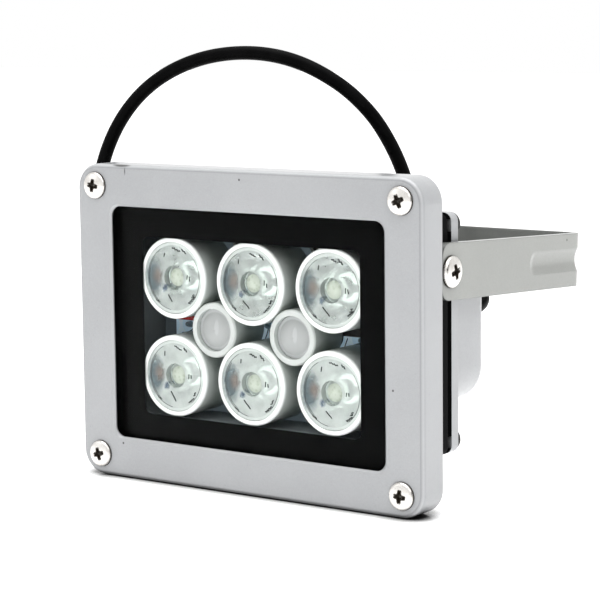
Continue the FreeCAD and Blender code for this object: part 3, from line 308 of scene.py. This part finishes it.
def satin_paint(name, light, dark, nicks, edge=0.0003, hollow_shade=0.0):
    """Sprayed satin paint: fine flake, a slow change of tone, orange peel, rare specks, painted shade in
    corners, painted reflections on rounded edges and, if asked, painted shade over broad hollows.
    """
    paint = Paint(name)
    flake = paint.math("MULTIPLY", paint.noise(5200, 2.0), 0.6)
    cloud = paint.math("MULTIPLY", paint.noise(38, 3.0), 0.4)
    color = paint.mix(paint.ramp(paint.math("ADD", flake, cloud), 0.36, 0.64), dark, light)
    color = paint.mix(paint.ramp(paint.cells(420), 0.045, 0.075, 0.25, 0.0), color, SPECK)
    # Painted shade: darker in corners and along contact lines
    color = paint.mix(paint.ramp(paint.shade(0.0025), 0.3, 0.75, 0.9, 0.0), color, CORNER_SHADE)
    color = painted_edge_reflections(paint, color)
    for centre, size, share in nicks:
        dent = paint.math("MULTIPLY", paint.near(centre, size), share, clamp=True)
        color = paint.mix(dent, color, NICK)
    # Painted shade over broad hollows, such as the bracket's inner faces
    if hollow_shade:
        color = paint.mix(paint.ramp(paint.shade(0.09), 0.35, 0.85, hollow_shade, 0.0), color, HOLLOW_SHADE)
    paint.set(
        color=color,
        metal=0.1,
        rough=paint.uneven(paint.noise(900, 2.0), 0.36, 0.46),
        normal=paint.bump(paint.noise(1500, 2.0), 0.00006, 0.35, paint.rounded(edge)),
        specular=0.3,
        coat=0.8,
        coat_rough=0.14,
    )
    return paint


def silver_paint():
    nicks = [
        (spot(-0.0416, 0.0005, 0.0880), (0.0038, 0.0014, 0.0007), 2.2),
        (spot(-0.0400, 0.0, 0.0863), (0.00028, 0.001, 0.0014), 1.2),
        (spot(0.0483, 0.0, 0.0332), NICK_SIZE, 2.0),
        (spot(-0.0003, 0.0, 0.0854), NICK_SIZE, 2.0),
        (spot(-0.0426, 0.0, 0.0098), NICK_SIZE, 2.0),
    ]
    return satin_paint("silver_paint", (0.392, 0.399, 0.409), (0.334, 0.341, 0.351), nicks)


def bracket_paint():
    nicks = [(spot(0.05515, 0.0782, 0.0651), NICK_SIZE, 2.0)]
    light = (0.295, 0.302, 0.285)
    dark = (0.254, 0.26, 0.245)
    # The bracket's inner faces get painted shade
    return satin_paint("bracket_paint", light, dark, nicks, edge=0.0009, hollow_shade=0.75)


def black_coat():
    paint = Paint("black_coat")
    grain = paint.noise(2600, 3.0)
    paint.set(
        color=paint.mottle(60, 2.0, (0.0018, 0.0018, 0.0019), (0.0032, 0.0032, 0.0034), 0.35, 0.65),
        rough=paint.uneven(grain, 0.5, 0.65),
        specular=0.01,
        normal=paint.bump(grain, 0.00008, 0.6, paint.rounded(0.0003)),
    )
    return paint


# The tray's pocket, which holds the lens array
POCKET_CENTRE = spot(0, 0.0114, 0.0435)
POCKET_HALF_SIZE = (0.0418, 0.0076, 0.0262)
POCKET_LIT_WALL = (0.021, 0.0182)


def tray_coat():
    """Black outside, with a greyer pocket and a lower wall in it painted paler, as painted light on its
    upward face.
    """
    paint = Paint("tray_coat")
    place = paint.place()
    way = paint.vector("ABSOLUTE", paint.away(place, POCKET_CENTRE, POCKET_HALF_SIZE))
    furthest = paint.math("MAXIMUM", paint.axis(way, "X"), paint.axis(way, "Y"))
    furthest = paint.math("MAXIMUM", furthest, paint.axis(way, "Z"))
    grey = paint.mix(paint.noise(900, 3.0), (0.105, 0.118, 0.12), (0.15, 0.168, 0.172))
    # Painted light: the pocket's lower wall is paler, as if lit from above
    start, end = (spot(0, 0, height).z for height in POCKET_LIT_WALL)
    pocket = paint.mix(paint.ramp(paint.axis(place, "Z"), start, end), grey, (0.24, 0.27, 0.28))
    paint.set(
        color=paint.mix(paint.math("LESS_THAN", furthest, 1.0), (0.0025, 0.0025, 0.0027), pocket),
        rough=0.55,
        specular=0.03,
        normal=paint.bump(paint.noise(2600, 3.0), 0.00008, 0.6, paint.rounded(0.0003)),
    )
    return paint


def black_rubber():
    paint = Paint("black_rubber")
    fine = paint.noise(3200, 2.0)
    paint.set(
        color=paint.mottle(240, 3.0, (0.0014, 0.0014, 0.0015), (0.0028, 0.0028, 0.0029), 0.35, 0.65),
        rough=paint.uneven(fine, 0.38, 0.5),
        specular=0.03,
        normal=paint.bump(fine, 0.00003, 0.5),
    )
    return paint


def gasket_rubber():
    paint = Paint("gasket_rubber")
    paint.set(
        color=paint.mix(paint.noise(900, 3.0), (0.0015, 0.0015, 0.0016), (0.0032, 0.0032, 0.0033)),
        rough=0.7,
        specular=0.0,
        normal=paint.bump(paint.noise(2400, 2.0), 0.00003, 0.5),
    )
    return paint


def nickel_steel():
    """Bright plating with tarnish in the cross recesses, and painted shade that deepens the recesses and
    darkens the rims of the heads.
    """
    paint = Paint("nickel_steel")
    brushed = paint.noise(1800, 4.0, 0.7)
    # Painted shade: darker along convex edges, which outlines the heads and widens the crosses
    wear_and_shade = paint.ramp(paint.shade(0.0005, 16, True), 0.6, 0.85, 1.0, 0.0)
    # Tarnish and painted shade in the recesses
    tarnish_and_shade = paint.math("MAXIMUM", wear_and_shade, paint.ramp(paint.shade(0.0014, 16), 0.78, 0.96, 1.0, 0.0))
    plating = paint.mottle(500, 3.0, (0.70, 0.675, 0.64), (0.80, 0.78, 0.75))
    paint.set(
        color=paint.mix(tarnish_and_shade, plating, (0.02, 0.015, 0.01)),
        metal=paint.ramp(tarnish_and_shade, 0.0, 1.0, 1.0, 0.0),
        rough=paint.uneven(brushed, 0.22, 0.36),
        normal=paint.bump(brushed, 0.00002, 0.35, paint.rounded(0.0001)),
        specular=0.1,
    )
    return paint


def dark_steel():
    paint = Paint("dark_steel")
    wear_and_shade = paint.ramp(paint.noise(1400, 4.0), 0.35, 0.65)
    paint.set(
        color=paint.mix(wear_and_shade, (0.005, 0.0045, 0.004), (0.022, 0.02, 0.018)),
        metal=0.9,
        rough=paint.ramp(wear_and_shade, 0.0, 1.0, 0.24, 0.4),
        normal=paint.rounded(0.0001),
    )
    return paint


def pane_glass():
    """Clear glass that shows only its reflections."""
    paint = Paint("pane_glass")
    reflection = paint.node("Fresnel", {"IOR": 1.45}).outputs[0]
    paint.set(
        color=(0.9, 0.94, 0.93),
        metal=1.0,
        rough=0.02,
        alpha=paint.math("MULTIPLY", reflection, 0.025),
    )
    return paint


def border_ink():
    """Black print with a little pale dust."""
    paint = Paint("border_ink")
    grains = paint.ramp(paint.cells(260), 0.03, 0.055, 1.0, 0.0)
    dust = paint.math("MULTIPLY", grains, paint.ramp(paint.noise(70, 2.0), 0.52, 0.6))
    paint.set(color=paint.mix(dust, (0.0026, 0.0026, 0.0026), (0.1, 0.1, 0.1)), rough=0.4, specular=0.0)
    return paint


# The LED board's zones of painted shade, in the lamp's axes
BOARD_MIDDLE_HEIGHT = 0.0435
BOARD_SHADE_ZONE = (0.009, 0.016)
BOARD_SHADED_MARGIN = (0.0366, 0.0368)


def white_board():
    """Pale mask with conductor lines, with painted shade above and below the middle and at both side
    margins, and a painted glow that is strongest in the middle.
    """
    paint = Paint("white_board")
    ground = paint.mottle(120, 3.0, (0.42, 0.62, 0.76), (0.56, 0.74, 0.85), 0.35, 0.65)
    lines = paint.ramp(paint.cells(170, 0.6), 0.42, 0.46, 0.0, 0.8)
    # Painted shade at both side margins
    shaded_margin = paint.ramp(paint.math("ABSOLUTE", paint.axis(paint.place(), "X")), *BOARD_SHADED_MARGIN)
    rise = paint.math("SUBTRACT", paint.axis(paint.place(), "Z"), spot(0, 0, BOARD_MIDDLE_HEIGHT).z)
    # Painted shade above and below the middle
    painted_shade = paint.ramp(paint.math("ABSOLUTE", rise), *BOARD_SHADE_ZONE)
    ground = paint.mix(painted_shade, paint.mix(lines, ground, (0.8, 0.87, 0.92)), (0.17, 0.21, 0.22))
    # A painted glow, though the board is no lamp, strongest in the middle
    painted_glow = paint.ramp(painted_shade, 0.0, 1.0, 0.25, 0.055)
    paint.set(
        color=paint.mix(shaded_margin, ground, (0.055, 0.057, 0.052)),
        rough=0.32,
        normal=paint.bump(lines, 0.00003, 0.6),
        glow=(0.5, 0.68, 0.8),
        glow_strength=paint.math("MULTIPLY", painted_glow, paint.ramp(shaded_margin, 0.0, 1.0, 1.0, 0.14)),
    )
    return paint


# Depths of the lens cups: their front, the end of the lit lip and the end of the fall into shade
CUP_FRONT = 0.0037
CUP_LIP_END = 0.0047
CUP_SHADE_END = 0.0105


def white_plastic():
    """White moulding with painted shade: its sides darken with depth behind a bright lip."""
    paint = Paint("white_plastic")
    depth = paint.axis(paint.place(), "Y")
    front, lip_end, shade_end = (spot(0, y, 0).y for y in (CUP_FRONT, CUP_LIP_END, CUP_SHADE_END))
    # Painted shade, deeper towards the back
    lip = paint.ramp(depth, front, lip_end, 0.0, 0.62)
    depth_shade = paint.math("ADD", lip, paint.ramp(depth, lip_end, shade_end, 0.0, 0.38))
    white = paint.mottle(140, 2.0, (0.84, 0.87, 0.85), (0.9, 0.925, 0.91))
    paint.set(
        color=paint.mix(depth_shade, white, (0.25, 0.29, 0.265)),
        rough=paint.uneven(paint.noise(900, 2.0), 0.28, 0.4),
        normal=paint.bump(paint.noise(1100, 2.0), 0.00003, 0.4),
    )
    return paint


# Painted reflections, soft coloured patches that the lenses show: centre and half size in the lens's own
# box, strength, full share, colour
LENS_REFLECTION_PATCHES = (
    ((0.2, 0.5, 0.54), (0.17, 9.0, 0.31), 0.95, 0.5, (0.09, 0.16, 0.19)),
    ((0.27, 0.5, 0.57), (0.1, 9.0, 0.15), 0.85, 0.3, (0.34, 0.25, 0.2)),
    ((0.4, 0.5, 0.4), (0.055, 9.0, 0.065), 0.9, 0.4, (0.05, 0.12, 0.23)),
)
MILKY_HEIGHTS = (0.05, 0.038)


def clear_acrylic():
    """Clear moulding with a milky body and rim, more so in the lower row, and soft coloured patches of
    painted reflection.
    """
    paint = Paint("clear_acrylic")
    milk = paint.uneven(paint.noise(260, 3.0), 0.24, 0.38)
    start, end = (spot(0, 0, height).z for height in MILKY_HEIGHTS)
    milk = paint.math("ADD", milk, paint.ramp(paint.axis(paint.place(), "Z"), start, end, 0.0, 0.1))
    rim = paint.ramp(paint.from_axis(), 0.86, 0.93, 0.0, 0.6)
    pull = paint.mix(paint.noise(900, 3.0, 0.6), (-0.11, 0, -0.1), (0.11, 0, 0.1))
    warped = paint.vector("ADD", paint.own_box(), pull)
    tint_and_reflections = (0.92, 1.0, 0.96)
    # Painted reflections: soft coloured patches over the lens's tint
    for centre, size, strength, full, color in LENS_REFLECTION_PATCHES:
        tint_and_reflections = paint.mix(paint.patch(warped, centre, size, strength, full), tint_and_reflections, color)
    paint.set(
        color=tint_and_reflections,
        rough=0.02,
        ior=1.49,
        transmission=paint.math("SUBTRACT", 1.0, paint.math("MAXIMUM", milk, rim)),
        normal=paint.bump(paint.noise(520, 3.0), 0.00006, 0.6),
    )
    return paint


def frosted_acrylic():
    paint = Paint("frosted_acrylic")
    cloudy = paint.mottle(160, 3.0, (0.5, 0.52, 0.515), (0.58, 0.6, 0.595))
    # A painted highlight: a paler upright patch near the middle
    painted_sheen = paint.patch(paint.own_box(), (0.56, 0.5, 0.56), (0.07, 9.0, 0.2), 0.3)
    edge = paint.ramp(paint.from_axis(), 0.8, 0.88, 0.0, 0.75)
    paint.set(
        color=paint.mix(paint.math("MAXIMUM", painted_sheen, edge), cloudy, (0.92, 0.94, 0.95)),
        rough=paint.uneven(paint.noise(700, 2.0), 0.3, 0.42),
        transmission=0.3,
        ior=1.45,
        normal=paint.bump(paint.noise(2200, 2.0), 0.00002, 0.5),
    )
    return paint


def led_phosphor():
    """A dome on a white base, both with a painted glow."""
    paint = Paint("led_phosphor")
    die = paint.ramp(paint.from_axis(), 0.34, 0.42, 1.0, 0.0)
    glaze = paint.mix(paint.noise(2600, 2.0), (0.66, 0.7, 0.56), (0.8, 0.84, 0.7))
    paint.set(
        color=paint.mix(die, (0.9, 0.92, 0.9), glaze),
        rough=0.25,
        coat=0.4,
        normal=paint.bump(paint.noise(1600, 2.0), 0.00002, 0.4),
        # Painted glow on the dome and its base
        glow=(0.95, 1.0, 0.96),
        glow_strength=paint.ramp(die, 0.0, 1.0, 1.0, 0.7),
    )
    return paint


def centre_frost():
    paint = Paint("centre_frost")
    paint.set(
        color=paint.mix(paint.ramp(paint.cells(900), 0.2, 0.5), (0.60, 0.68, 0.55), (0.76, 0.83, 0.72)),
        rough=0.4,
        alpha=0.72,
        normal=paint.bump(paint.noise(1800, 3.0), 0.00004, 0.6),
    )
    return paint


def mark_grey():
    paint = Paint("mark_grey")
    grey = paint.mix(paint.noise(1500, 2.0), (0.008, 0.01, 0.01), (0.04, 0.045, 0.045))
    paint.set(color=grey, rough=0.4, specular=0.05)
    return paint


def contact_metal():
    paint = Paint("contact_metal")
    paint.set(
        color=paint.mix(paint.noise(900, 3.0), (0.66, 0.64, 0.58), (0.82, 0.8, 0.75)),
        metal=1.0,
        rough=paint.uneven(paint.noise(2400, 3.0), 0.2, 0.34),
    )
    return paint


# Plain coloured materials: name, darker colour, lighter colour, roughness
PLAIN_PAINTS = (
    ("red_insulation", (0.42, 0.012, 0.012), (0.6, 0.03, 0.025), 0.35),
    ("blue_insulation", (0.14, 0.22, 0.27), (0.21, 0.31, 0.37), 0.35),
    ("white_insulation", (0.66, 0.66, 0.62), (0.78, 0.78, 0.74), 0.4),
    ("green_board", (0.012, 0.10, 0.04), (0.03, 0.17, 0.07), 0.3),
    ("dark_teal", (0.006, 0.02, 0.03), (0.02, 0.05, 0.07), 0.4),
    ("black_plastic", (0.008, 0.008, 0.008), (0.018, 0.018, 0.018), 0.5),
    ("capacitor_sleeve", (0.012, 0.014, 0.03), (0.03, 0.032, 0.05), 0.3),
    ("ferrite", (0.04, 0.033, 0.03), (0.09, 0.07, 0.055), 0.55),
)


def plain_paint(name, dark, light, rough):
    paint = Paint(name)
    grain = paint.noise(1500, 3.0)
    paint.set(
        color=paint.mottle(260, 3.0, dark, light),
        rough=paint.uneven(grain, rough - 0.06, rough + 0.08),
        normal=paint.bump(grain, 0.00003, 0.5),
    )
    return paint


def make_materials():
    """Every material by its name."""
    paints = [
        silver_paint(),
        bracket_paint(),
        black_coat(),
        tray_coat(),
        black_rubber(),
        gasket_rubber(),
        nickel_steel(),
        dark_steel(),
        pane_glass(),
        border_ink(),
        white_board(),
        white_plastic(),
        clear_acrylic(),
        frosted_acrylic(),
        led_phosphor(),
        centre_frost(),
        mark_grey(),
    ]
    paints += [plain_paint(*values) for values in PLAIN_PAINTS]
    paints.append(contact_metal())
    return {paint.name: paint.material for paint in paints}


materials = make_materials()

# Nodes that look different from their material slot
SPECIAL_MATERIALS = {
    "housing_screws": "dark_steel",
    "led_tray": "tray_coat",
    "housing_gasket": "gasket_rubber",
}


def dress_cad_nodes():
    """Each solid gets the material of its own slot, or its special one."""
    for name, node in nodes.items():
        slot = node.data.materials[0].name.split(".")[0]
        node.material_slots[0].material = materials[SPECIAL_MATERIALS.get(name, slot)]


dress_cad_nodes()
cable.data.materials.append(materials["black_rubber"])


def mesh_object(name, build, material, body):
    """A mesh piece from a function that fills a bmesh."""
    shape = bmesh.new()
    build(shape)
    bmesh.ops.recalc_face_normals(shape, faces=shape.faces)
    data = bpy.data.meshes.new(name)
    shape.to_mesh(data)
    shape.free()
    made = bpy.data.objects.new(name, data)
    scene.collection.objects.link(made)
    data.materials.append(materials[material])
    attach(made, body)


def circle_turns(steps):
    """The angles of a full turn in equal steps."""
    return [2 * math.pi * step / steps for step in range(steps)]


def join_loops(shape, first, second):
    """Faces between two closed loops of as many points."""
    for step in range(len(first)):
        following = (step + 1) % len(first)
        shape.faces.new((first[step], first[following], second[following], second[step]))


CORNER_STEPS = 8


def rounded_loop(half_x, half_z, radius, centre_x, centre_z):
    """Points round a rounded rectangle in the lamp's axes, as (x, z)."""
    points = []
    for sign_x, sign_z, start in ((1, 1, 0), (-1, 1, 90), (-1, -1, 180), (1, -1, 270)):
        for step in range(CORNER_STEPS + 1):
            turn = math.radians(start + 90 * step / CORNER_STEPS)
            x = centre_x + sign_x * (half_x - radius) + radius * math.cos(turn)
            z = centre_z + sign_z * (half_z - radius) + radius * math.sin(turn)
            points.append((x, z))
    return points


# The pane's printed border: a thin coat on the glass's back with a clear window.
# Each outline is half width, half height, corner radius and centre.
PRINT_FRONT = 0.00321
PRINT_THICKNESS = 0.00003
PRINT_OUTLINE = (0.0482, 0.0351, 0.0055, 0, 0.044)
CLEAR_OUTLINE = (0.0364, 0.0248, 0.002, -0.0003, 0.0433)


def build_border(shape):
    rings = []
    for depth in (PRINT_FRONT, PRINT_FRONT + PRINT_THICKNESS):
        for outline in (PRINT_OUTLINE, CLEAR_OUTLINE):
            rings.append([shape.verts.new(spot(x, depth, z)) for x, z in rounded_loop(*outline)])
    front_out, front_in, back_out, back_in = rings
    join_loops(shape, front_out, front_in)
    join_loops(shape, back_in, back_out)
    join_loops(shape, front_in, back_in)
    join_loops(shape, back_out, front_out)


mesh_object("printed_border", build_border, "border_ink", "head")


# The lens array: three columns and two rows
LENS_COLUMNS = (-0.0264, 0.0, 0.0264)
LENS_ROWS = (0.02985, 0.05715)
LENS_FRONT = 0.0039
BOWL_FLOOR = 0.0051
BOWL_CROWN = 0.0008
BOWL_RADIUS = 0.0034

# The frosted spot on each bowl's floor: its lower and upper face above the floor
CENTRE_RADIUS = 0.00248
CENTRE_LIFTS = (0.00002, 0.00005)
CENTRE_RINGS = 5
CENTRE_STEPS = 40


def each_lens():
    for z in LENS_ROWS:
        for x in LENS_COLUMNS:
            yield x, z


def centre_loop(shape, x, z, ring, lift):
    """One ring of points on the domed floor of a bowl."""
    radius = CENTRE_RADIUS * ring / CENTRE_RINGS
    depth = BOWL_FLOOR + BOWL_CROWN * (radius / BOWL_RADIUS) ** 2 - lift
    loop = []
    for turn in circle_turns(CENTRE_STEPS):
        place = spot(x + radius * math.cos(turn), depth, z + radius * math.sin(turn))
        loop.append(shape.verts.new(place))
    return loop


def build_lens_centres(shape):
    """A thin frosted spot on the domed floor of each lens's bowl."""
    for x, z in each_lens():
        rims = []
        for lift in CENTRE_LIFTS:
            loops = [centre_loop(shape, x, z, ring, lift) for ring in range(1, CENTRE_RINGS + 1)]
            middle = shape.verts.new(spot(x, BOWL_FLOOR - lift, z))
            for step in range(CENTRE_STEPS):
                following = (step + 1) % CENTRE_STEPS
                shape.faces.new((middle, loops[0][step], loops[0][following]))
            for inner, outer in zip(loops, loops[1:]):
                join_loops(shape, inner, outer)
            rims.append(loops[-1])
        join_loops(shape, *rims)


mesh_object("lens_centres", build_lens_centres, "centre_frost", "head")

STROKE_SIDES = 6


def stroke(shape, points, radius):
    """A thin round bead along a short run of points."""
    rings = []
    for index, point in enumerate(points):
        ahead = points[min(index + 1, len(points) - 1)]
        behind = points[max(index - 1, 0)]
        along = (ahead - behind).normalized()
        side = along.cross(Vector((0, 1, 0))).normalized()
        other = along.cross(side)
        ring = []
        for turn in circle_turns(STROKE_SIDES):
            offset = radius * (side * math.cos(turn) + other * math.sin(turn))
            ring.append(shape.verts.new(point + offset))
        rings.append(ring)
    for first, second in zip(rings, rings[1:]):
        join_loops(shape, first, second)
    shape.faces.new(rings[0])
    shape.faces.new(rings[-1][::-1])


# Painted reflections, small dark strokes on each lens's front: (distance from the axis in mm, angle, length
# in mm, angle along, waves)
LENS_REFLECTION_STROKES = (
    (7.9, 84, 2.6, -22, 3.0),
    (8.3, 64, 1.8, -34, 2.0),
    (8.5, -46, 2.8, 38, 3.5),
    (8.1, -34, 1.4, 62, 1.5),
    (7.0, 121, 1.3, 80, 0.0),
    (5.9, 258, 2.9, -58, 0.5),
    (8.9, 232, 1.6, -50, 1.0),
    (4.7, 4, 1.3, 84, 0.0),
    (5.5, 1, 1.2, 97, 0.0),
)
# Thin moulded rings inside each lens's rim: (distance from the axis in mm, first angle, last angle)
LENS_ARCS = (
    (9.0, 118, 262),
    (8.55, 142, 236),
    (8.95, -52, 38),
)
MARK_DEPTH = LENS_FRONT - 0.00002
MARK_RADIUS = 0.00016
MARK_STEPS = 12
ARC_RADIUS = 0.00006
ARC_STEPS = 24


def mark_points(chance, x, z, mark):
    """The points of one mark, a little different in every lens. Distances are in mm."""
    reach, angle, length, heading, waves = mark
    turn = math.radians(angle + chance.uniform(-4, 4))
    slope = math.radians(heading + chance.uniform(-7, 7))
    size = length * chance.uniform(0.8, 1.15)
    sway = chance.uniform(0.12, 0.26)
    points = []
    for step in range(MARK_STEPS + 1):
        part = step / MARK_STEPS - 0.5
        off = sway * math.sin(2 * math.pi * waves * part)
        along = part * size
        across = reach * math.cos(turn) + along * math.cos(slope) - off * math.sin(slope)
        up = reach * math.sin(turn) + along * math.sin(slope) + off * math.cos(slope)
        points.append(spot(x + across / 1000, MARK_DEPTH, z + up / 1000))
    return points


def arc_points(x, z, reach, first, last):
    points = []
    for step in range(ARC_STEPS + 1):
        turn = math.radians(first + (last - first) * step / ARC_STEPS)
        across = reach * math.cos(turn) / 1000
        up = reach * math.sin(turn) / 1000
        points.append(spot(x + across, MARK_DEPTH, z + up))
    return points


def build_lens_reflections_and_rings(shape):
    chance = random.Random(7)
    for x, z in each_lens():
        # Painted reflections as dark strokes
        for mark in LENS_REFLECTION_STROKES:
            stroke(shape, mark_points(chance, x, z, mark), MARK_RADIUS)
        for arc in LENS_ARCS:
            stroke(shape, arc_points(x, z, *arc), ARC_RADIUS)


mesh_object("lens_reflections_and_rings", build_lens_reflections_and_rings, "mark_grey", "head")

# Dark electrode bars on each LED's base: uprights beside the dome, and thinner rungs between two of them
UPRIGHT_PLACES = (-0.0034, 0.0031, 0.0036)
UPRIGHT_HEIGHTS = (-0.0011, 0.0, 0.0011)
UPRIGHT_DEPTH = 0.01575
UPRIGHT_RADIUS = 0.0002
RUNG_PLACES = (0.0031, 0.00335, 0.0036)
RUNG_HEIGHTS = (-0.0005, 0.0004)
RUNG_DEPTH = 0.01578
RUNG_RADIUS = 0.0001


def build_led_contacts(shape):
    for x, z in each_lens():
        for dx in UPRIGHT_PLACES:
            stroke(shape, [spot(x + dx, UPRIGHT_DEPTH, z + dz) for dz in UPRIGHT_HEIGHTS], UPRIGHT_RADIUS)
        for dz in RUNG_HEIGHTS:
            stroke(shape, [spot(x + dx, RUNG_DEPTH, z + dz) for dx in RUNG_PLACES], RUNG_RADIUS)


mesh_object("led_contacts", build_led_contacts, "mark_grey", "head")

# Dark lines on the LED board, as runs of (x, z) in millimetres: raised conductor edges, and among them a
# painted shadow edge cast by a lens holder
BOARD_FRONT = 0.0173
BOARD_LINE_LIFT = 0.00005
BOARD_LINE_RADIUS = 0.00017
BOARD_LINES = (
    ((-4.9, 46.5), (-5.7, 43.8), (-6.1, 42.0), (-7.4, 39.6)),
    ((-4.0, 46.5), (-4.1, 43.5), (-4.6, 41.5), (-5.3, 40.0)),
    ((-2.9, 46.5), (-3.6, 43.6), (-3.7, 41.9), (-3.6, 40.2)),
    ((21.0, 43.4), (20.6, 41.5), (19.6, 40.0)),
    ((22.4, 42.5), (21.9, 41.3), (21.4, 40.1)),
    ((23.0, 40.2), (24.1, 40.7), (26.2, 41.3), (29.5, 41.5)),
    ((-34.6, 39.6), (-32.0, 40.1), (-30.2, 41.4)),
    ((-12.0, 68.6), (-10.0, 67.2), (-8.4, 64.9)),
    ((14.0, 68.6), (16.4, 67.1), (18.0, 64.9)),
)
RUN_PARTS = 6


def smooth_run(points):
    """Points along a Catmull-Rom curve through the given ones."""
    run = []
    padded = [points[0]] + list(points) + [points[-1]]
    for before, first, second, after in zip(padded, padded[1:], padded[2:], padded[3:]):
        for step in range(RUN_PARTS):
            t = step / RUN_PARTS
            pull = (second - before) * t + (2 * before - 5 * first + 4 * second - after) * t**2
            run.append(first + (pull + (3 * first - before - 3 * second + after) * t**3) / 2)
    run.append(points[-1])
    return run


def build_board_lines(shape):
    depth = BOARD_FRONT - BOARD_LINE_LIFT
    for line in BOARD_LINES:
        run = smooth_run([spot(x / 1000, depth, z / 1000) for x, z in line])
        stroke(shape, run, BOARD_LINE_RADIUS)


mesh_object("board_lines", build_board_lines, "dark_teal", "head")

# A thin black sheet over the blue wire's joint, between two corners
SHEET_THICKNESS = 0.00015
SHEET_LOW = (0.0206, BOARD_FRONT - SHEET_THICKNESS, 0.0430)
SHEET_HIGH = (0.0366, BOARD_FRONT, 0.0470)


def build_board_sheet(shape):
    corners = []
    for x in (SHEET_LOW[0], SHEET_HIGH[0]):
        for y in (SHEET_LOW[1], SHEET_HIGH[1]):
            for z in (SHEET_LOW[2], SHEET_HIGH[2]):
                corners.append(shape.verts.new(spot(x, y, z)))
    for face in ((0, 1, 3, 2), (4, 6, 7, 5), (0, 4, 5, 1), (2, 3, 7, 6), (0, 2, 6, 4), (1, 5, 7, 3)):
        shape.faces.new([corners[index] for index in face])


mesh_object("board_sheet", build_board_sheet, "black_plastic", "head")


# Floor, cards, lights and the pale surroundings
FLOOR_HEIGHT = spot(0, 0, 0).z
FLOOR_DROP = 0.0001
FLOOR_REACH = 3.0
CARD_REACH = 0.5

# Softboxes: name, place, point aimed at, size in metres and power in watts
SOFTBOXES = (
    ("top_softbox", (0.0, -0.1, 0.9), (0, -0.05, 0), 0.9, 8.0),
    ("left_softbox", (-0.7, -0.8, 0.45), (0, -0.06, 0), 0.5, 0.6),
    ("right_softbox", (0.8, -0.3, 0.6), (0, -0.06, 0), 0.5, 1.25),
)


def flat_mesh(name, parts, reach, paint):
    """A flat square mesh with one material."""
    shape = bmesh.new()
    bmesh.ops.create_grid(shape, x_segments=parts, y_segments=parts, size=reach)
    data = bpy.data.meshes.new(name)
    shape.to_mesh(data)
    shape.free()
    data.materials.append(paint.material)
    return data


def make_floor():
    """A bright, glowing table with a painted contact shadow: its colour and glow darken where the lamp and
    its cable touch it.
    """
    paint = Paint("floor")
    pale = paint.mix(paint.noise(3, 2.0), (0.93, 0.93, 0.935), (0.95, 0.95, 0.95))
    # Painted contact shadow: darker where the lamp and cable close over the floor
    outside_shadow = paint.ramp(paint.shade(0.006, 16), 0.3, 0.85)
    paint.set(
        color=paint.mix(outside_shadow, (0.02, 0.02, 0.02), pale),
        rough=0.2,
        specular=0.35,
        glow=(1.0, 1.0, 1.0),
        glow_strength=paint.ramp(outside_shadow, 0.0, 1.0, 0.0, 0.45),
    )
    floor = bpy.data.objects.new("floor", flat_mesh("floor", 8, FLOOR_REACH, paint))
    floor.location = (0, 0, FLOOR_HEIGHT - FLOOR_DROP)
    scene.collection.objects.link(floor)


def make_cards():
    """Two black cards out of view: one shades the front, one darkens what the right side reflects."""
    paint = Paint("flag")
    paint.set(color=(0.02, 0.02, 0.02), rough=0.9, specular=0.0)
    data = flat_mesh("flag", 1, CARD_REACH, paint)
    flag = bpy.data.objects.new("flag", data)
    flag.scale = (1.1, 1.0, 1.0)
    flag.location = (-0.05, -1.5, 0.45)
    flag.rotation_euler = (math.radians(90), 0, 0)
    flag.visible_camera = False
    flag.visible_glossy = False
    scene.collection.objects.link(flag)
    card = bpy.data.objects.new("side_card", data)
    card.scale = (0.7, 0.7, 1.0)
    card.location = (0.95, -0.15, 0.2)
    card.rotation_euler = (math.radians(90), 0, math.radians(90))
    card.visible_camera = False
    scene.collection.objects.link(card)


def make_world():
    world = bpy.data.worlds.new("studio")
    world.use_nodes = True
    background = world.node_tree.nodes["Background"]
    background.inputs["Color"].default_value = (1, 1, 1, 1)
    background.inputs["Strength"].default_value = 1.0
    scene.world = world


def make_lights():
    for name, place, aim, size, power in SOFTBOXES:
        light = bpy.data.lights.new(name, "AREA")
        light.shape = "SQUARE"
        light.size = size
        light.energy = power
        softbox = bpy.data.objects.new(name, light)
        softbox.location = place
        direction = Vector(aim) - Vector(place)
        softbox.rotation_euler = direction.to_track_quat("-Z", "Y").to_euler()
        softbox.visible_camera = False
        scene.collection.objects.link(softbox)


make_floor()
make_cards()
make_world()
make_lights()
scene.view_settings.view_transform = "Standard"
scene.view_settings.look = "None"

bpy.context.view_layer.update()
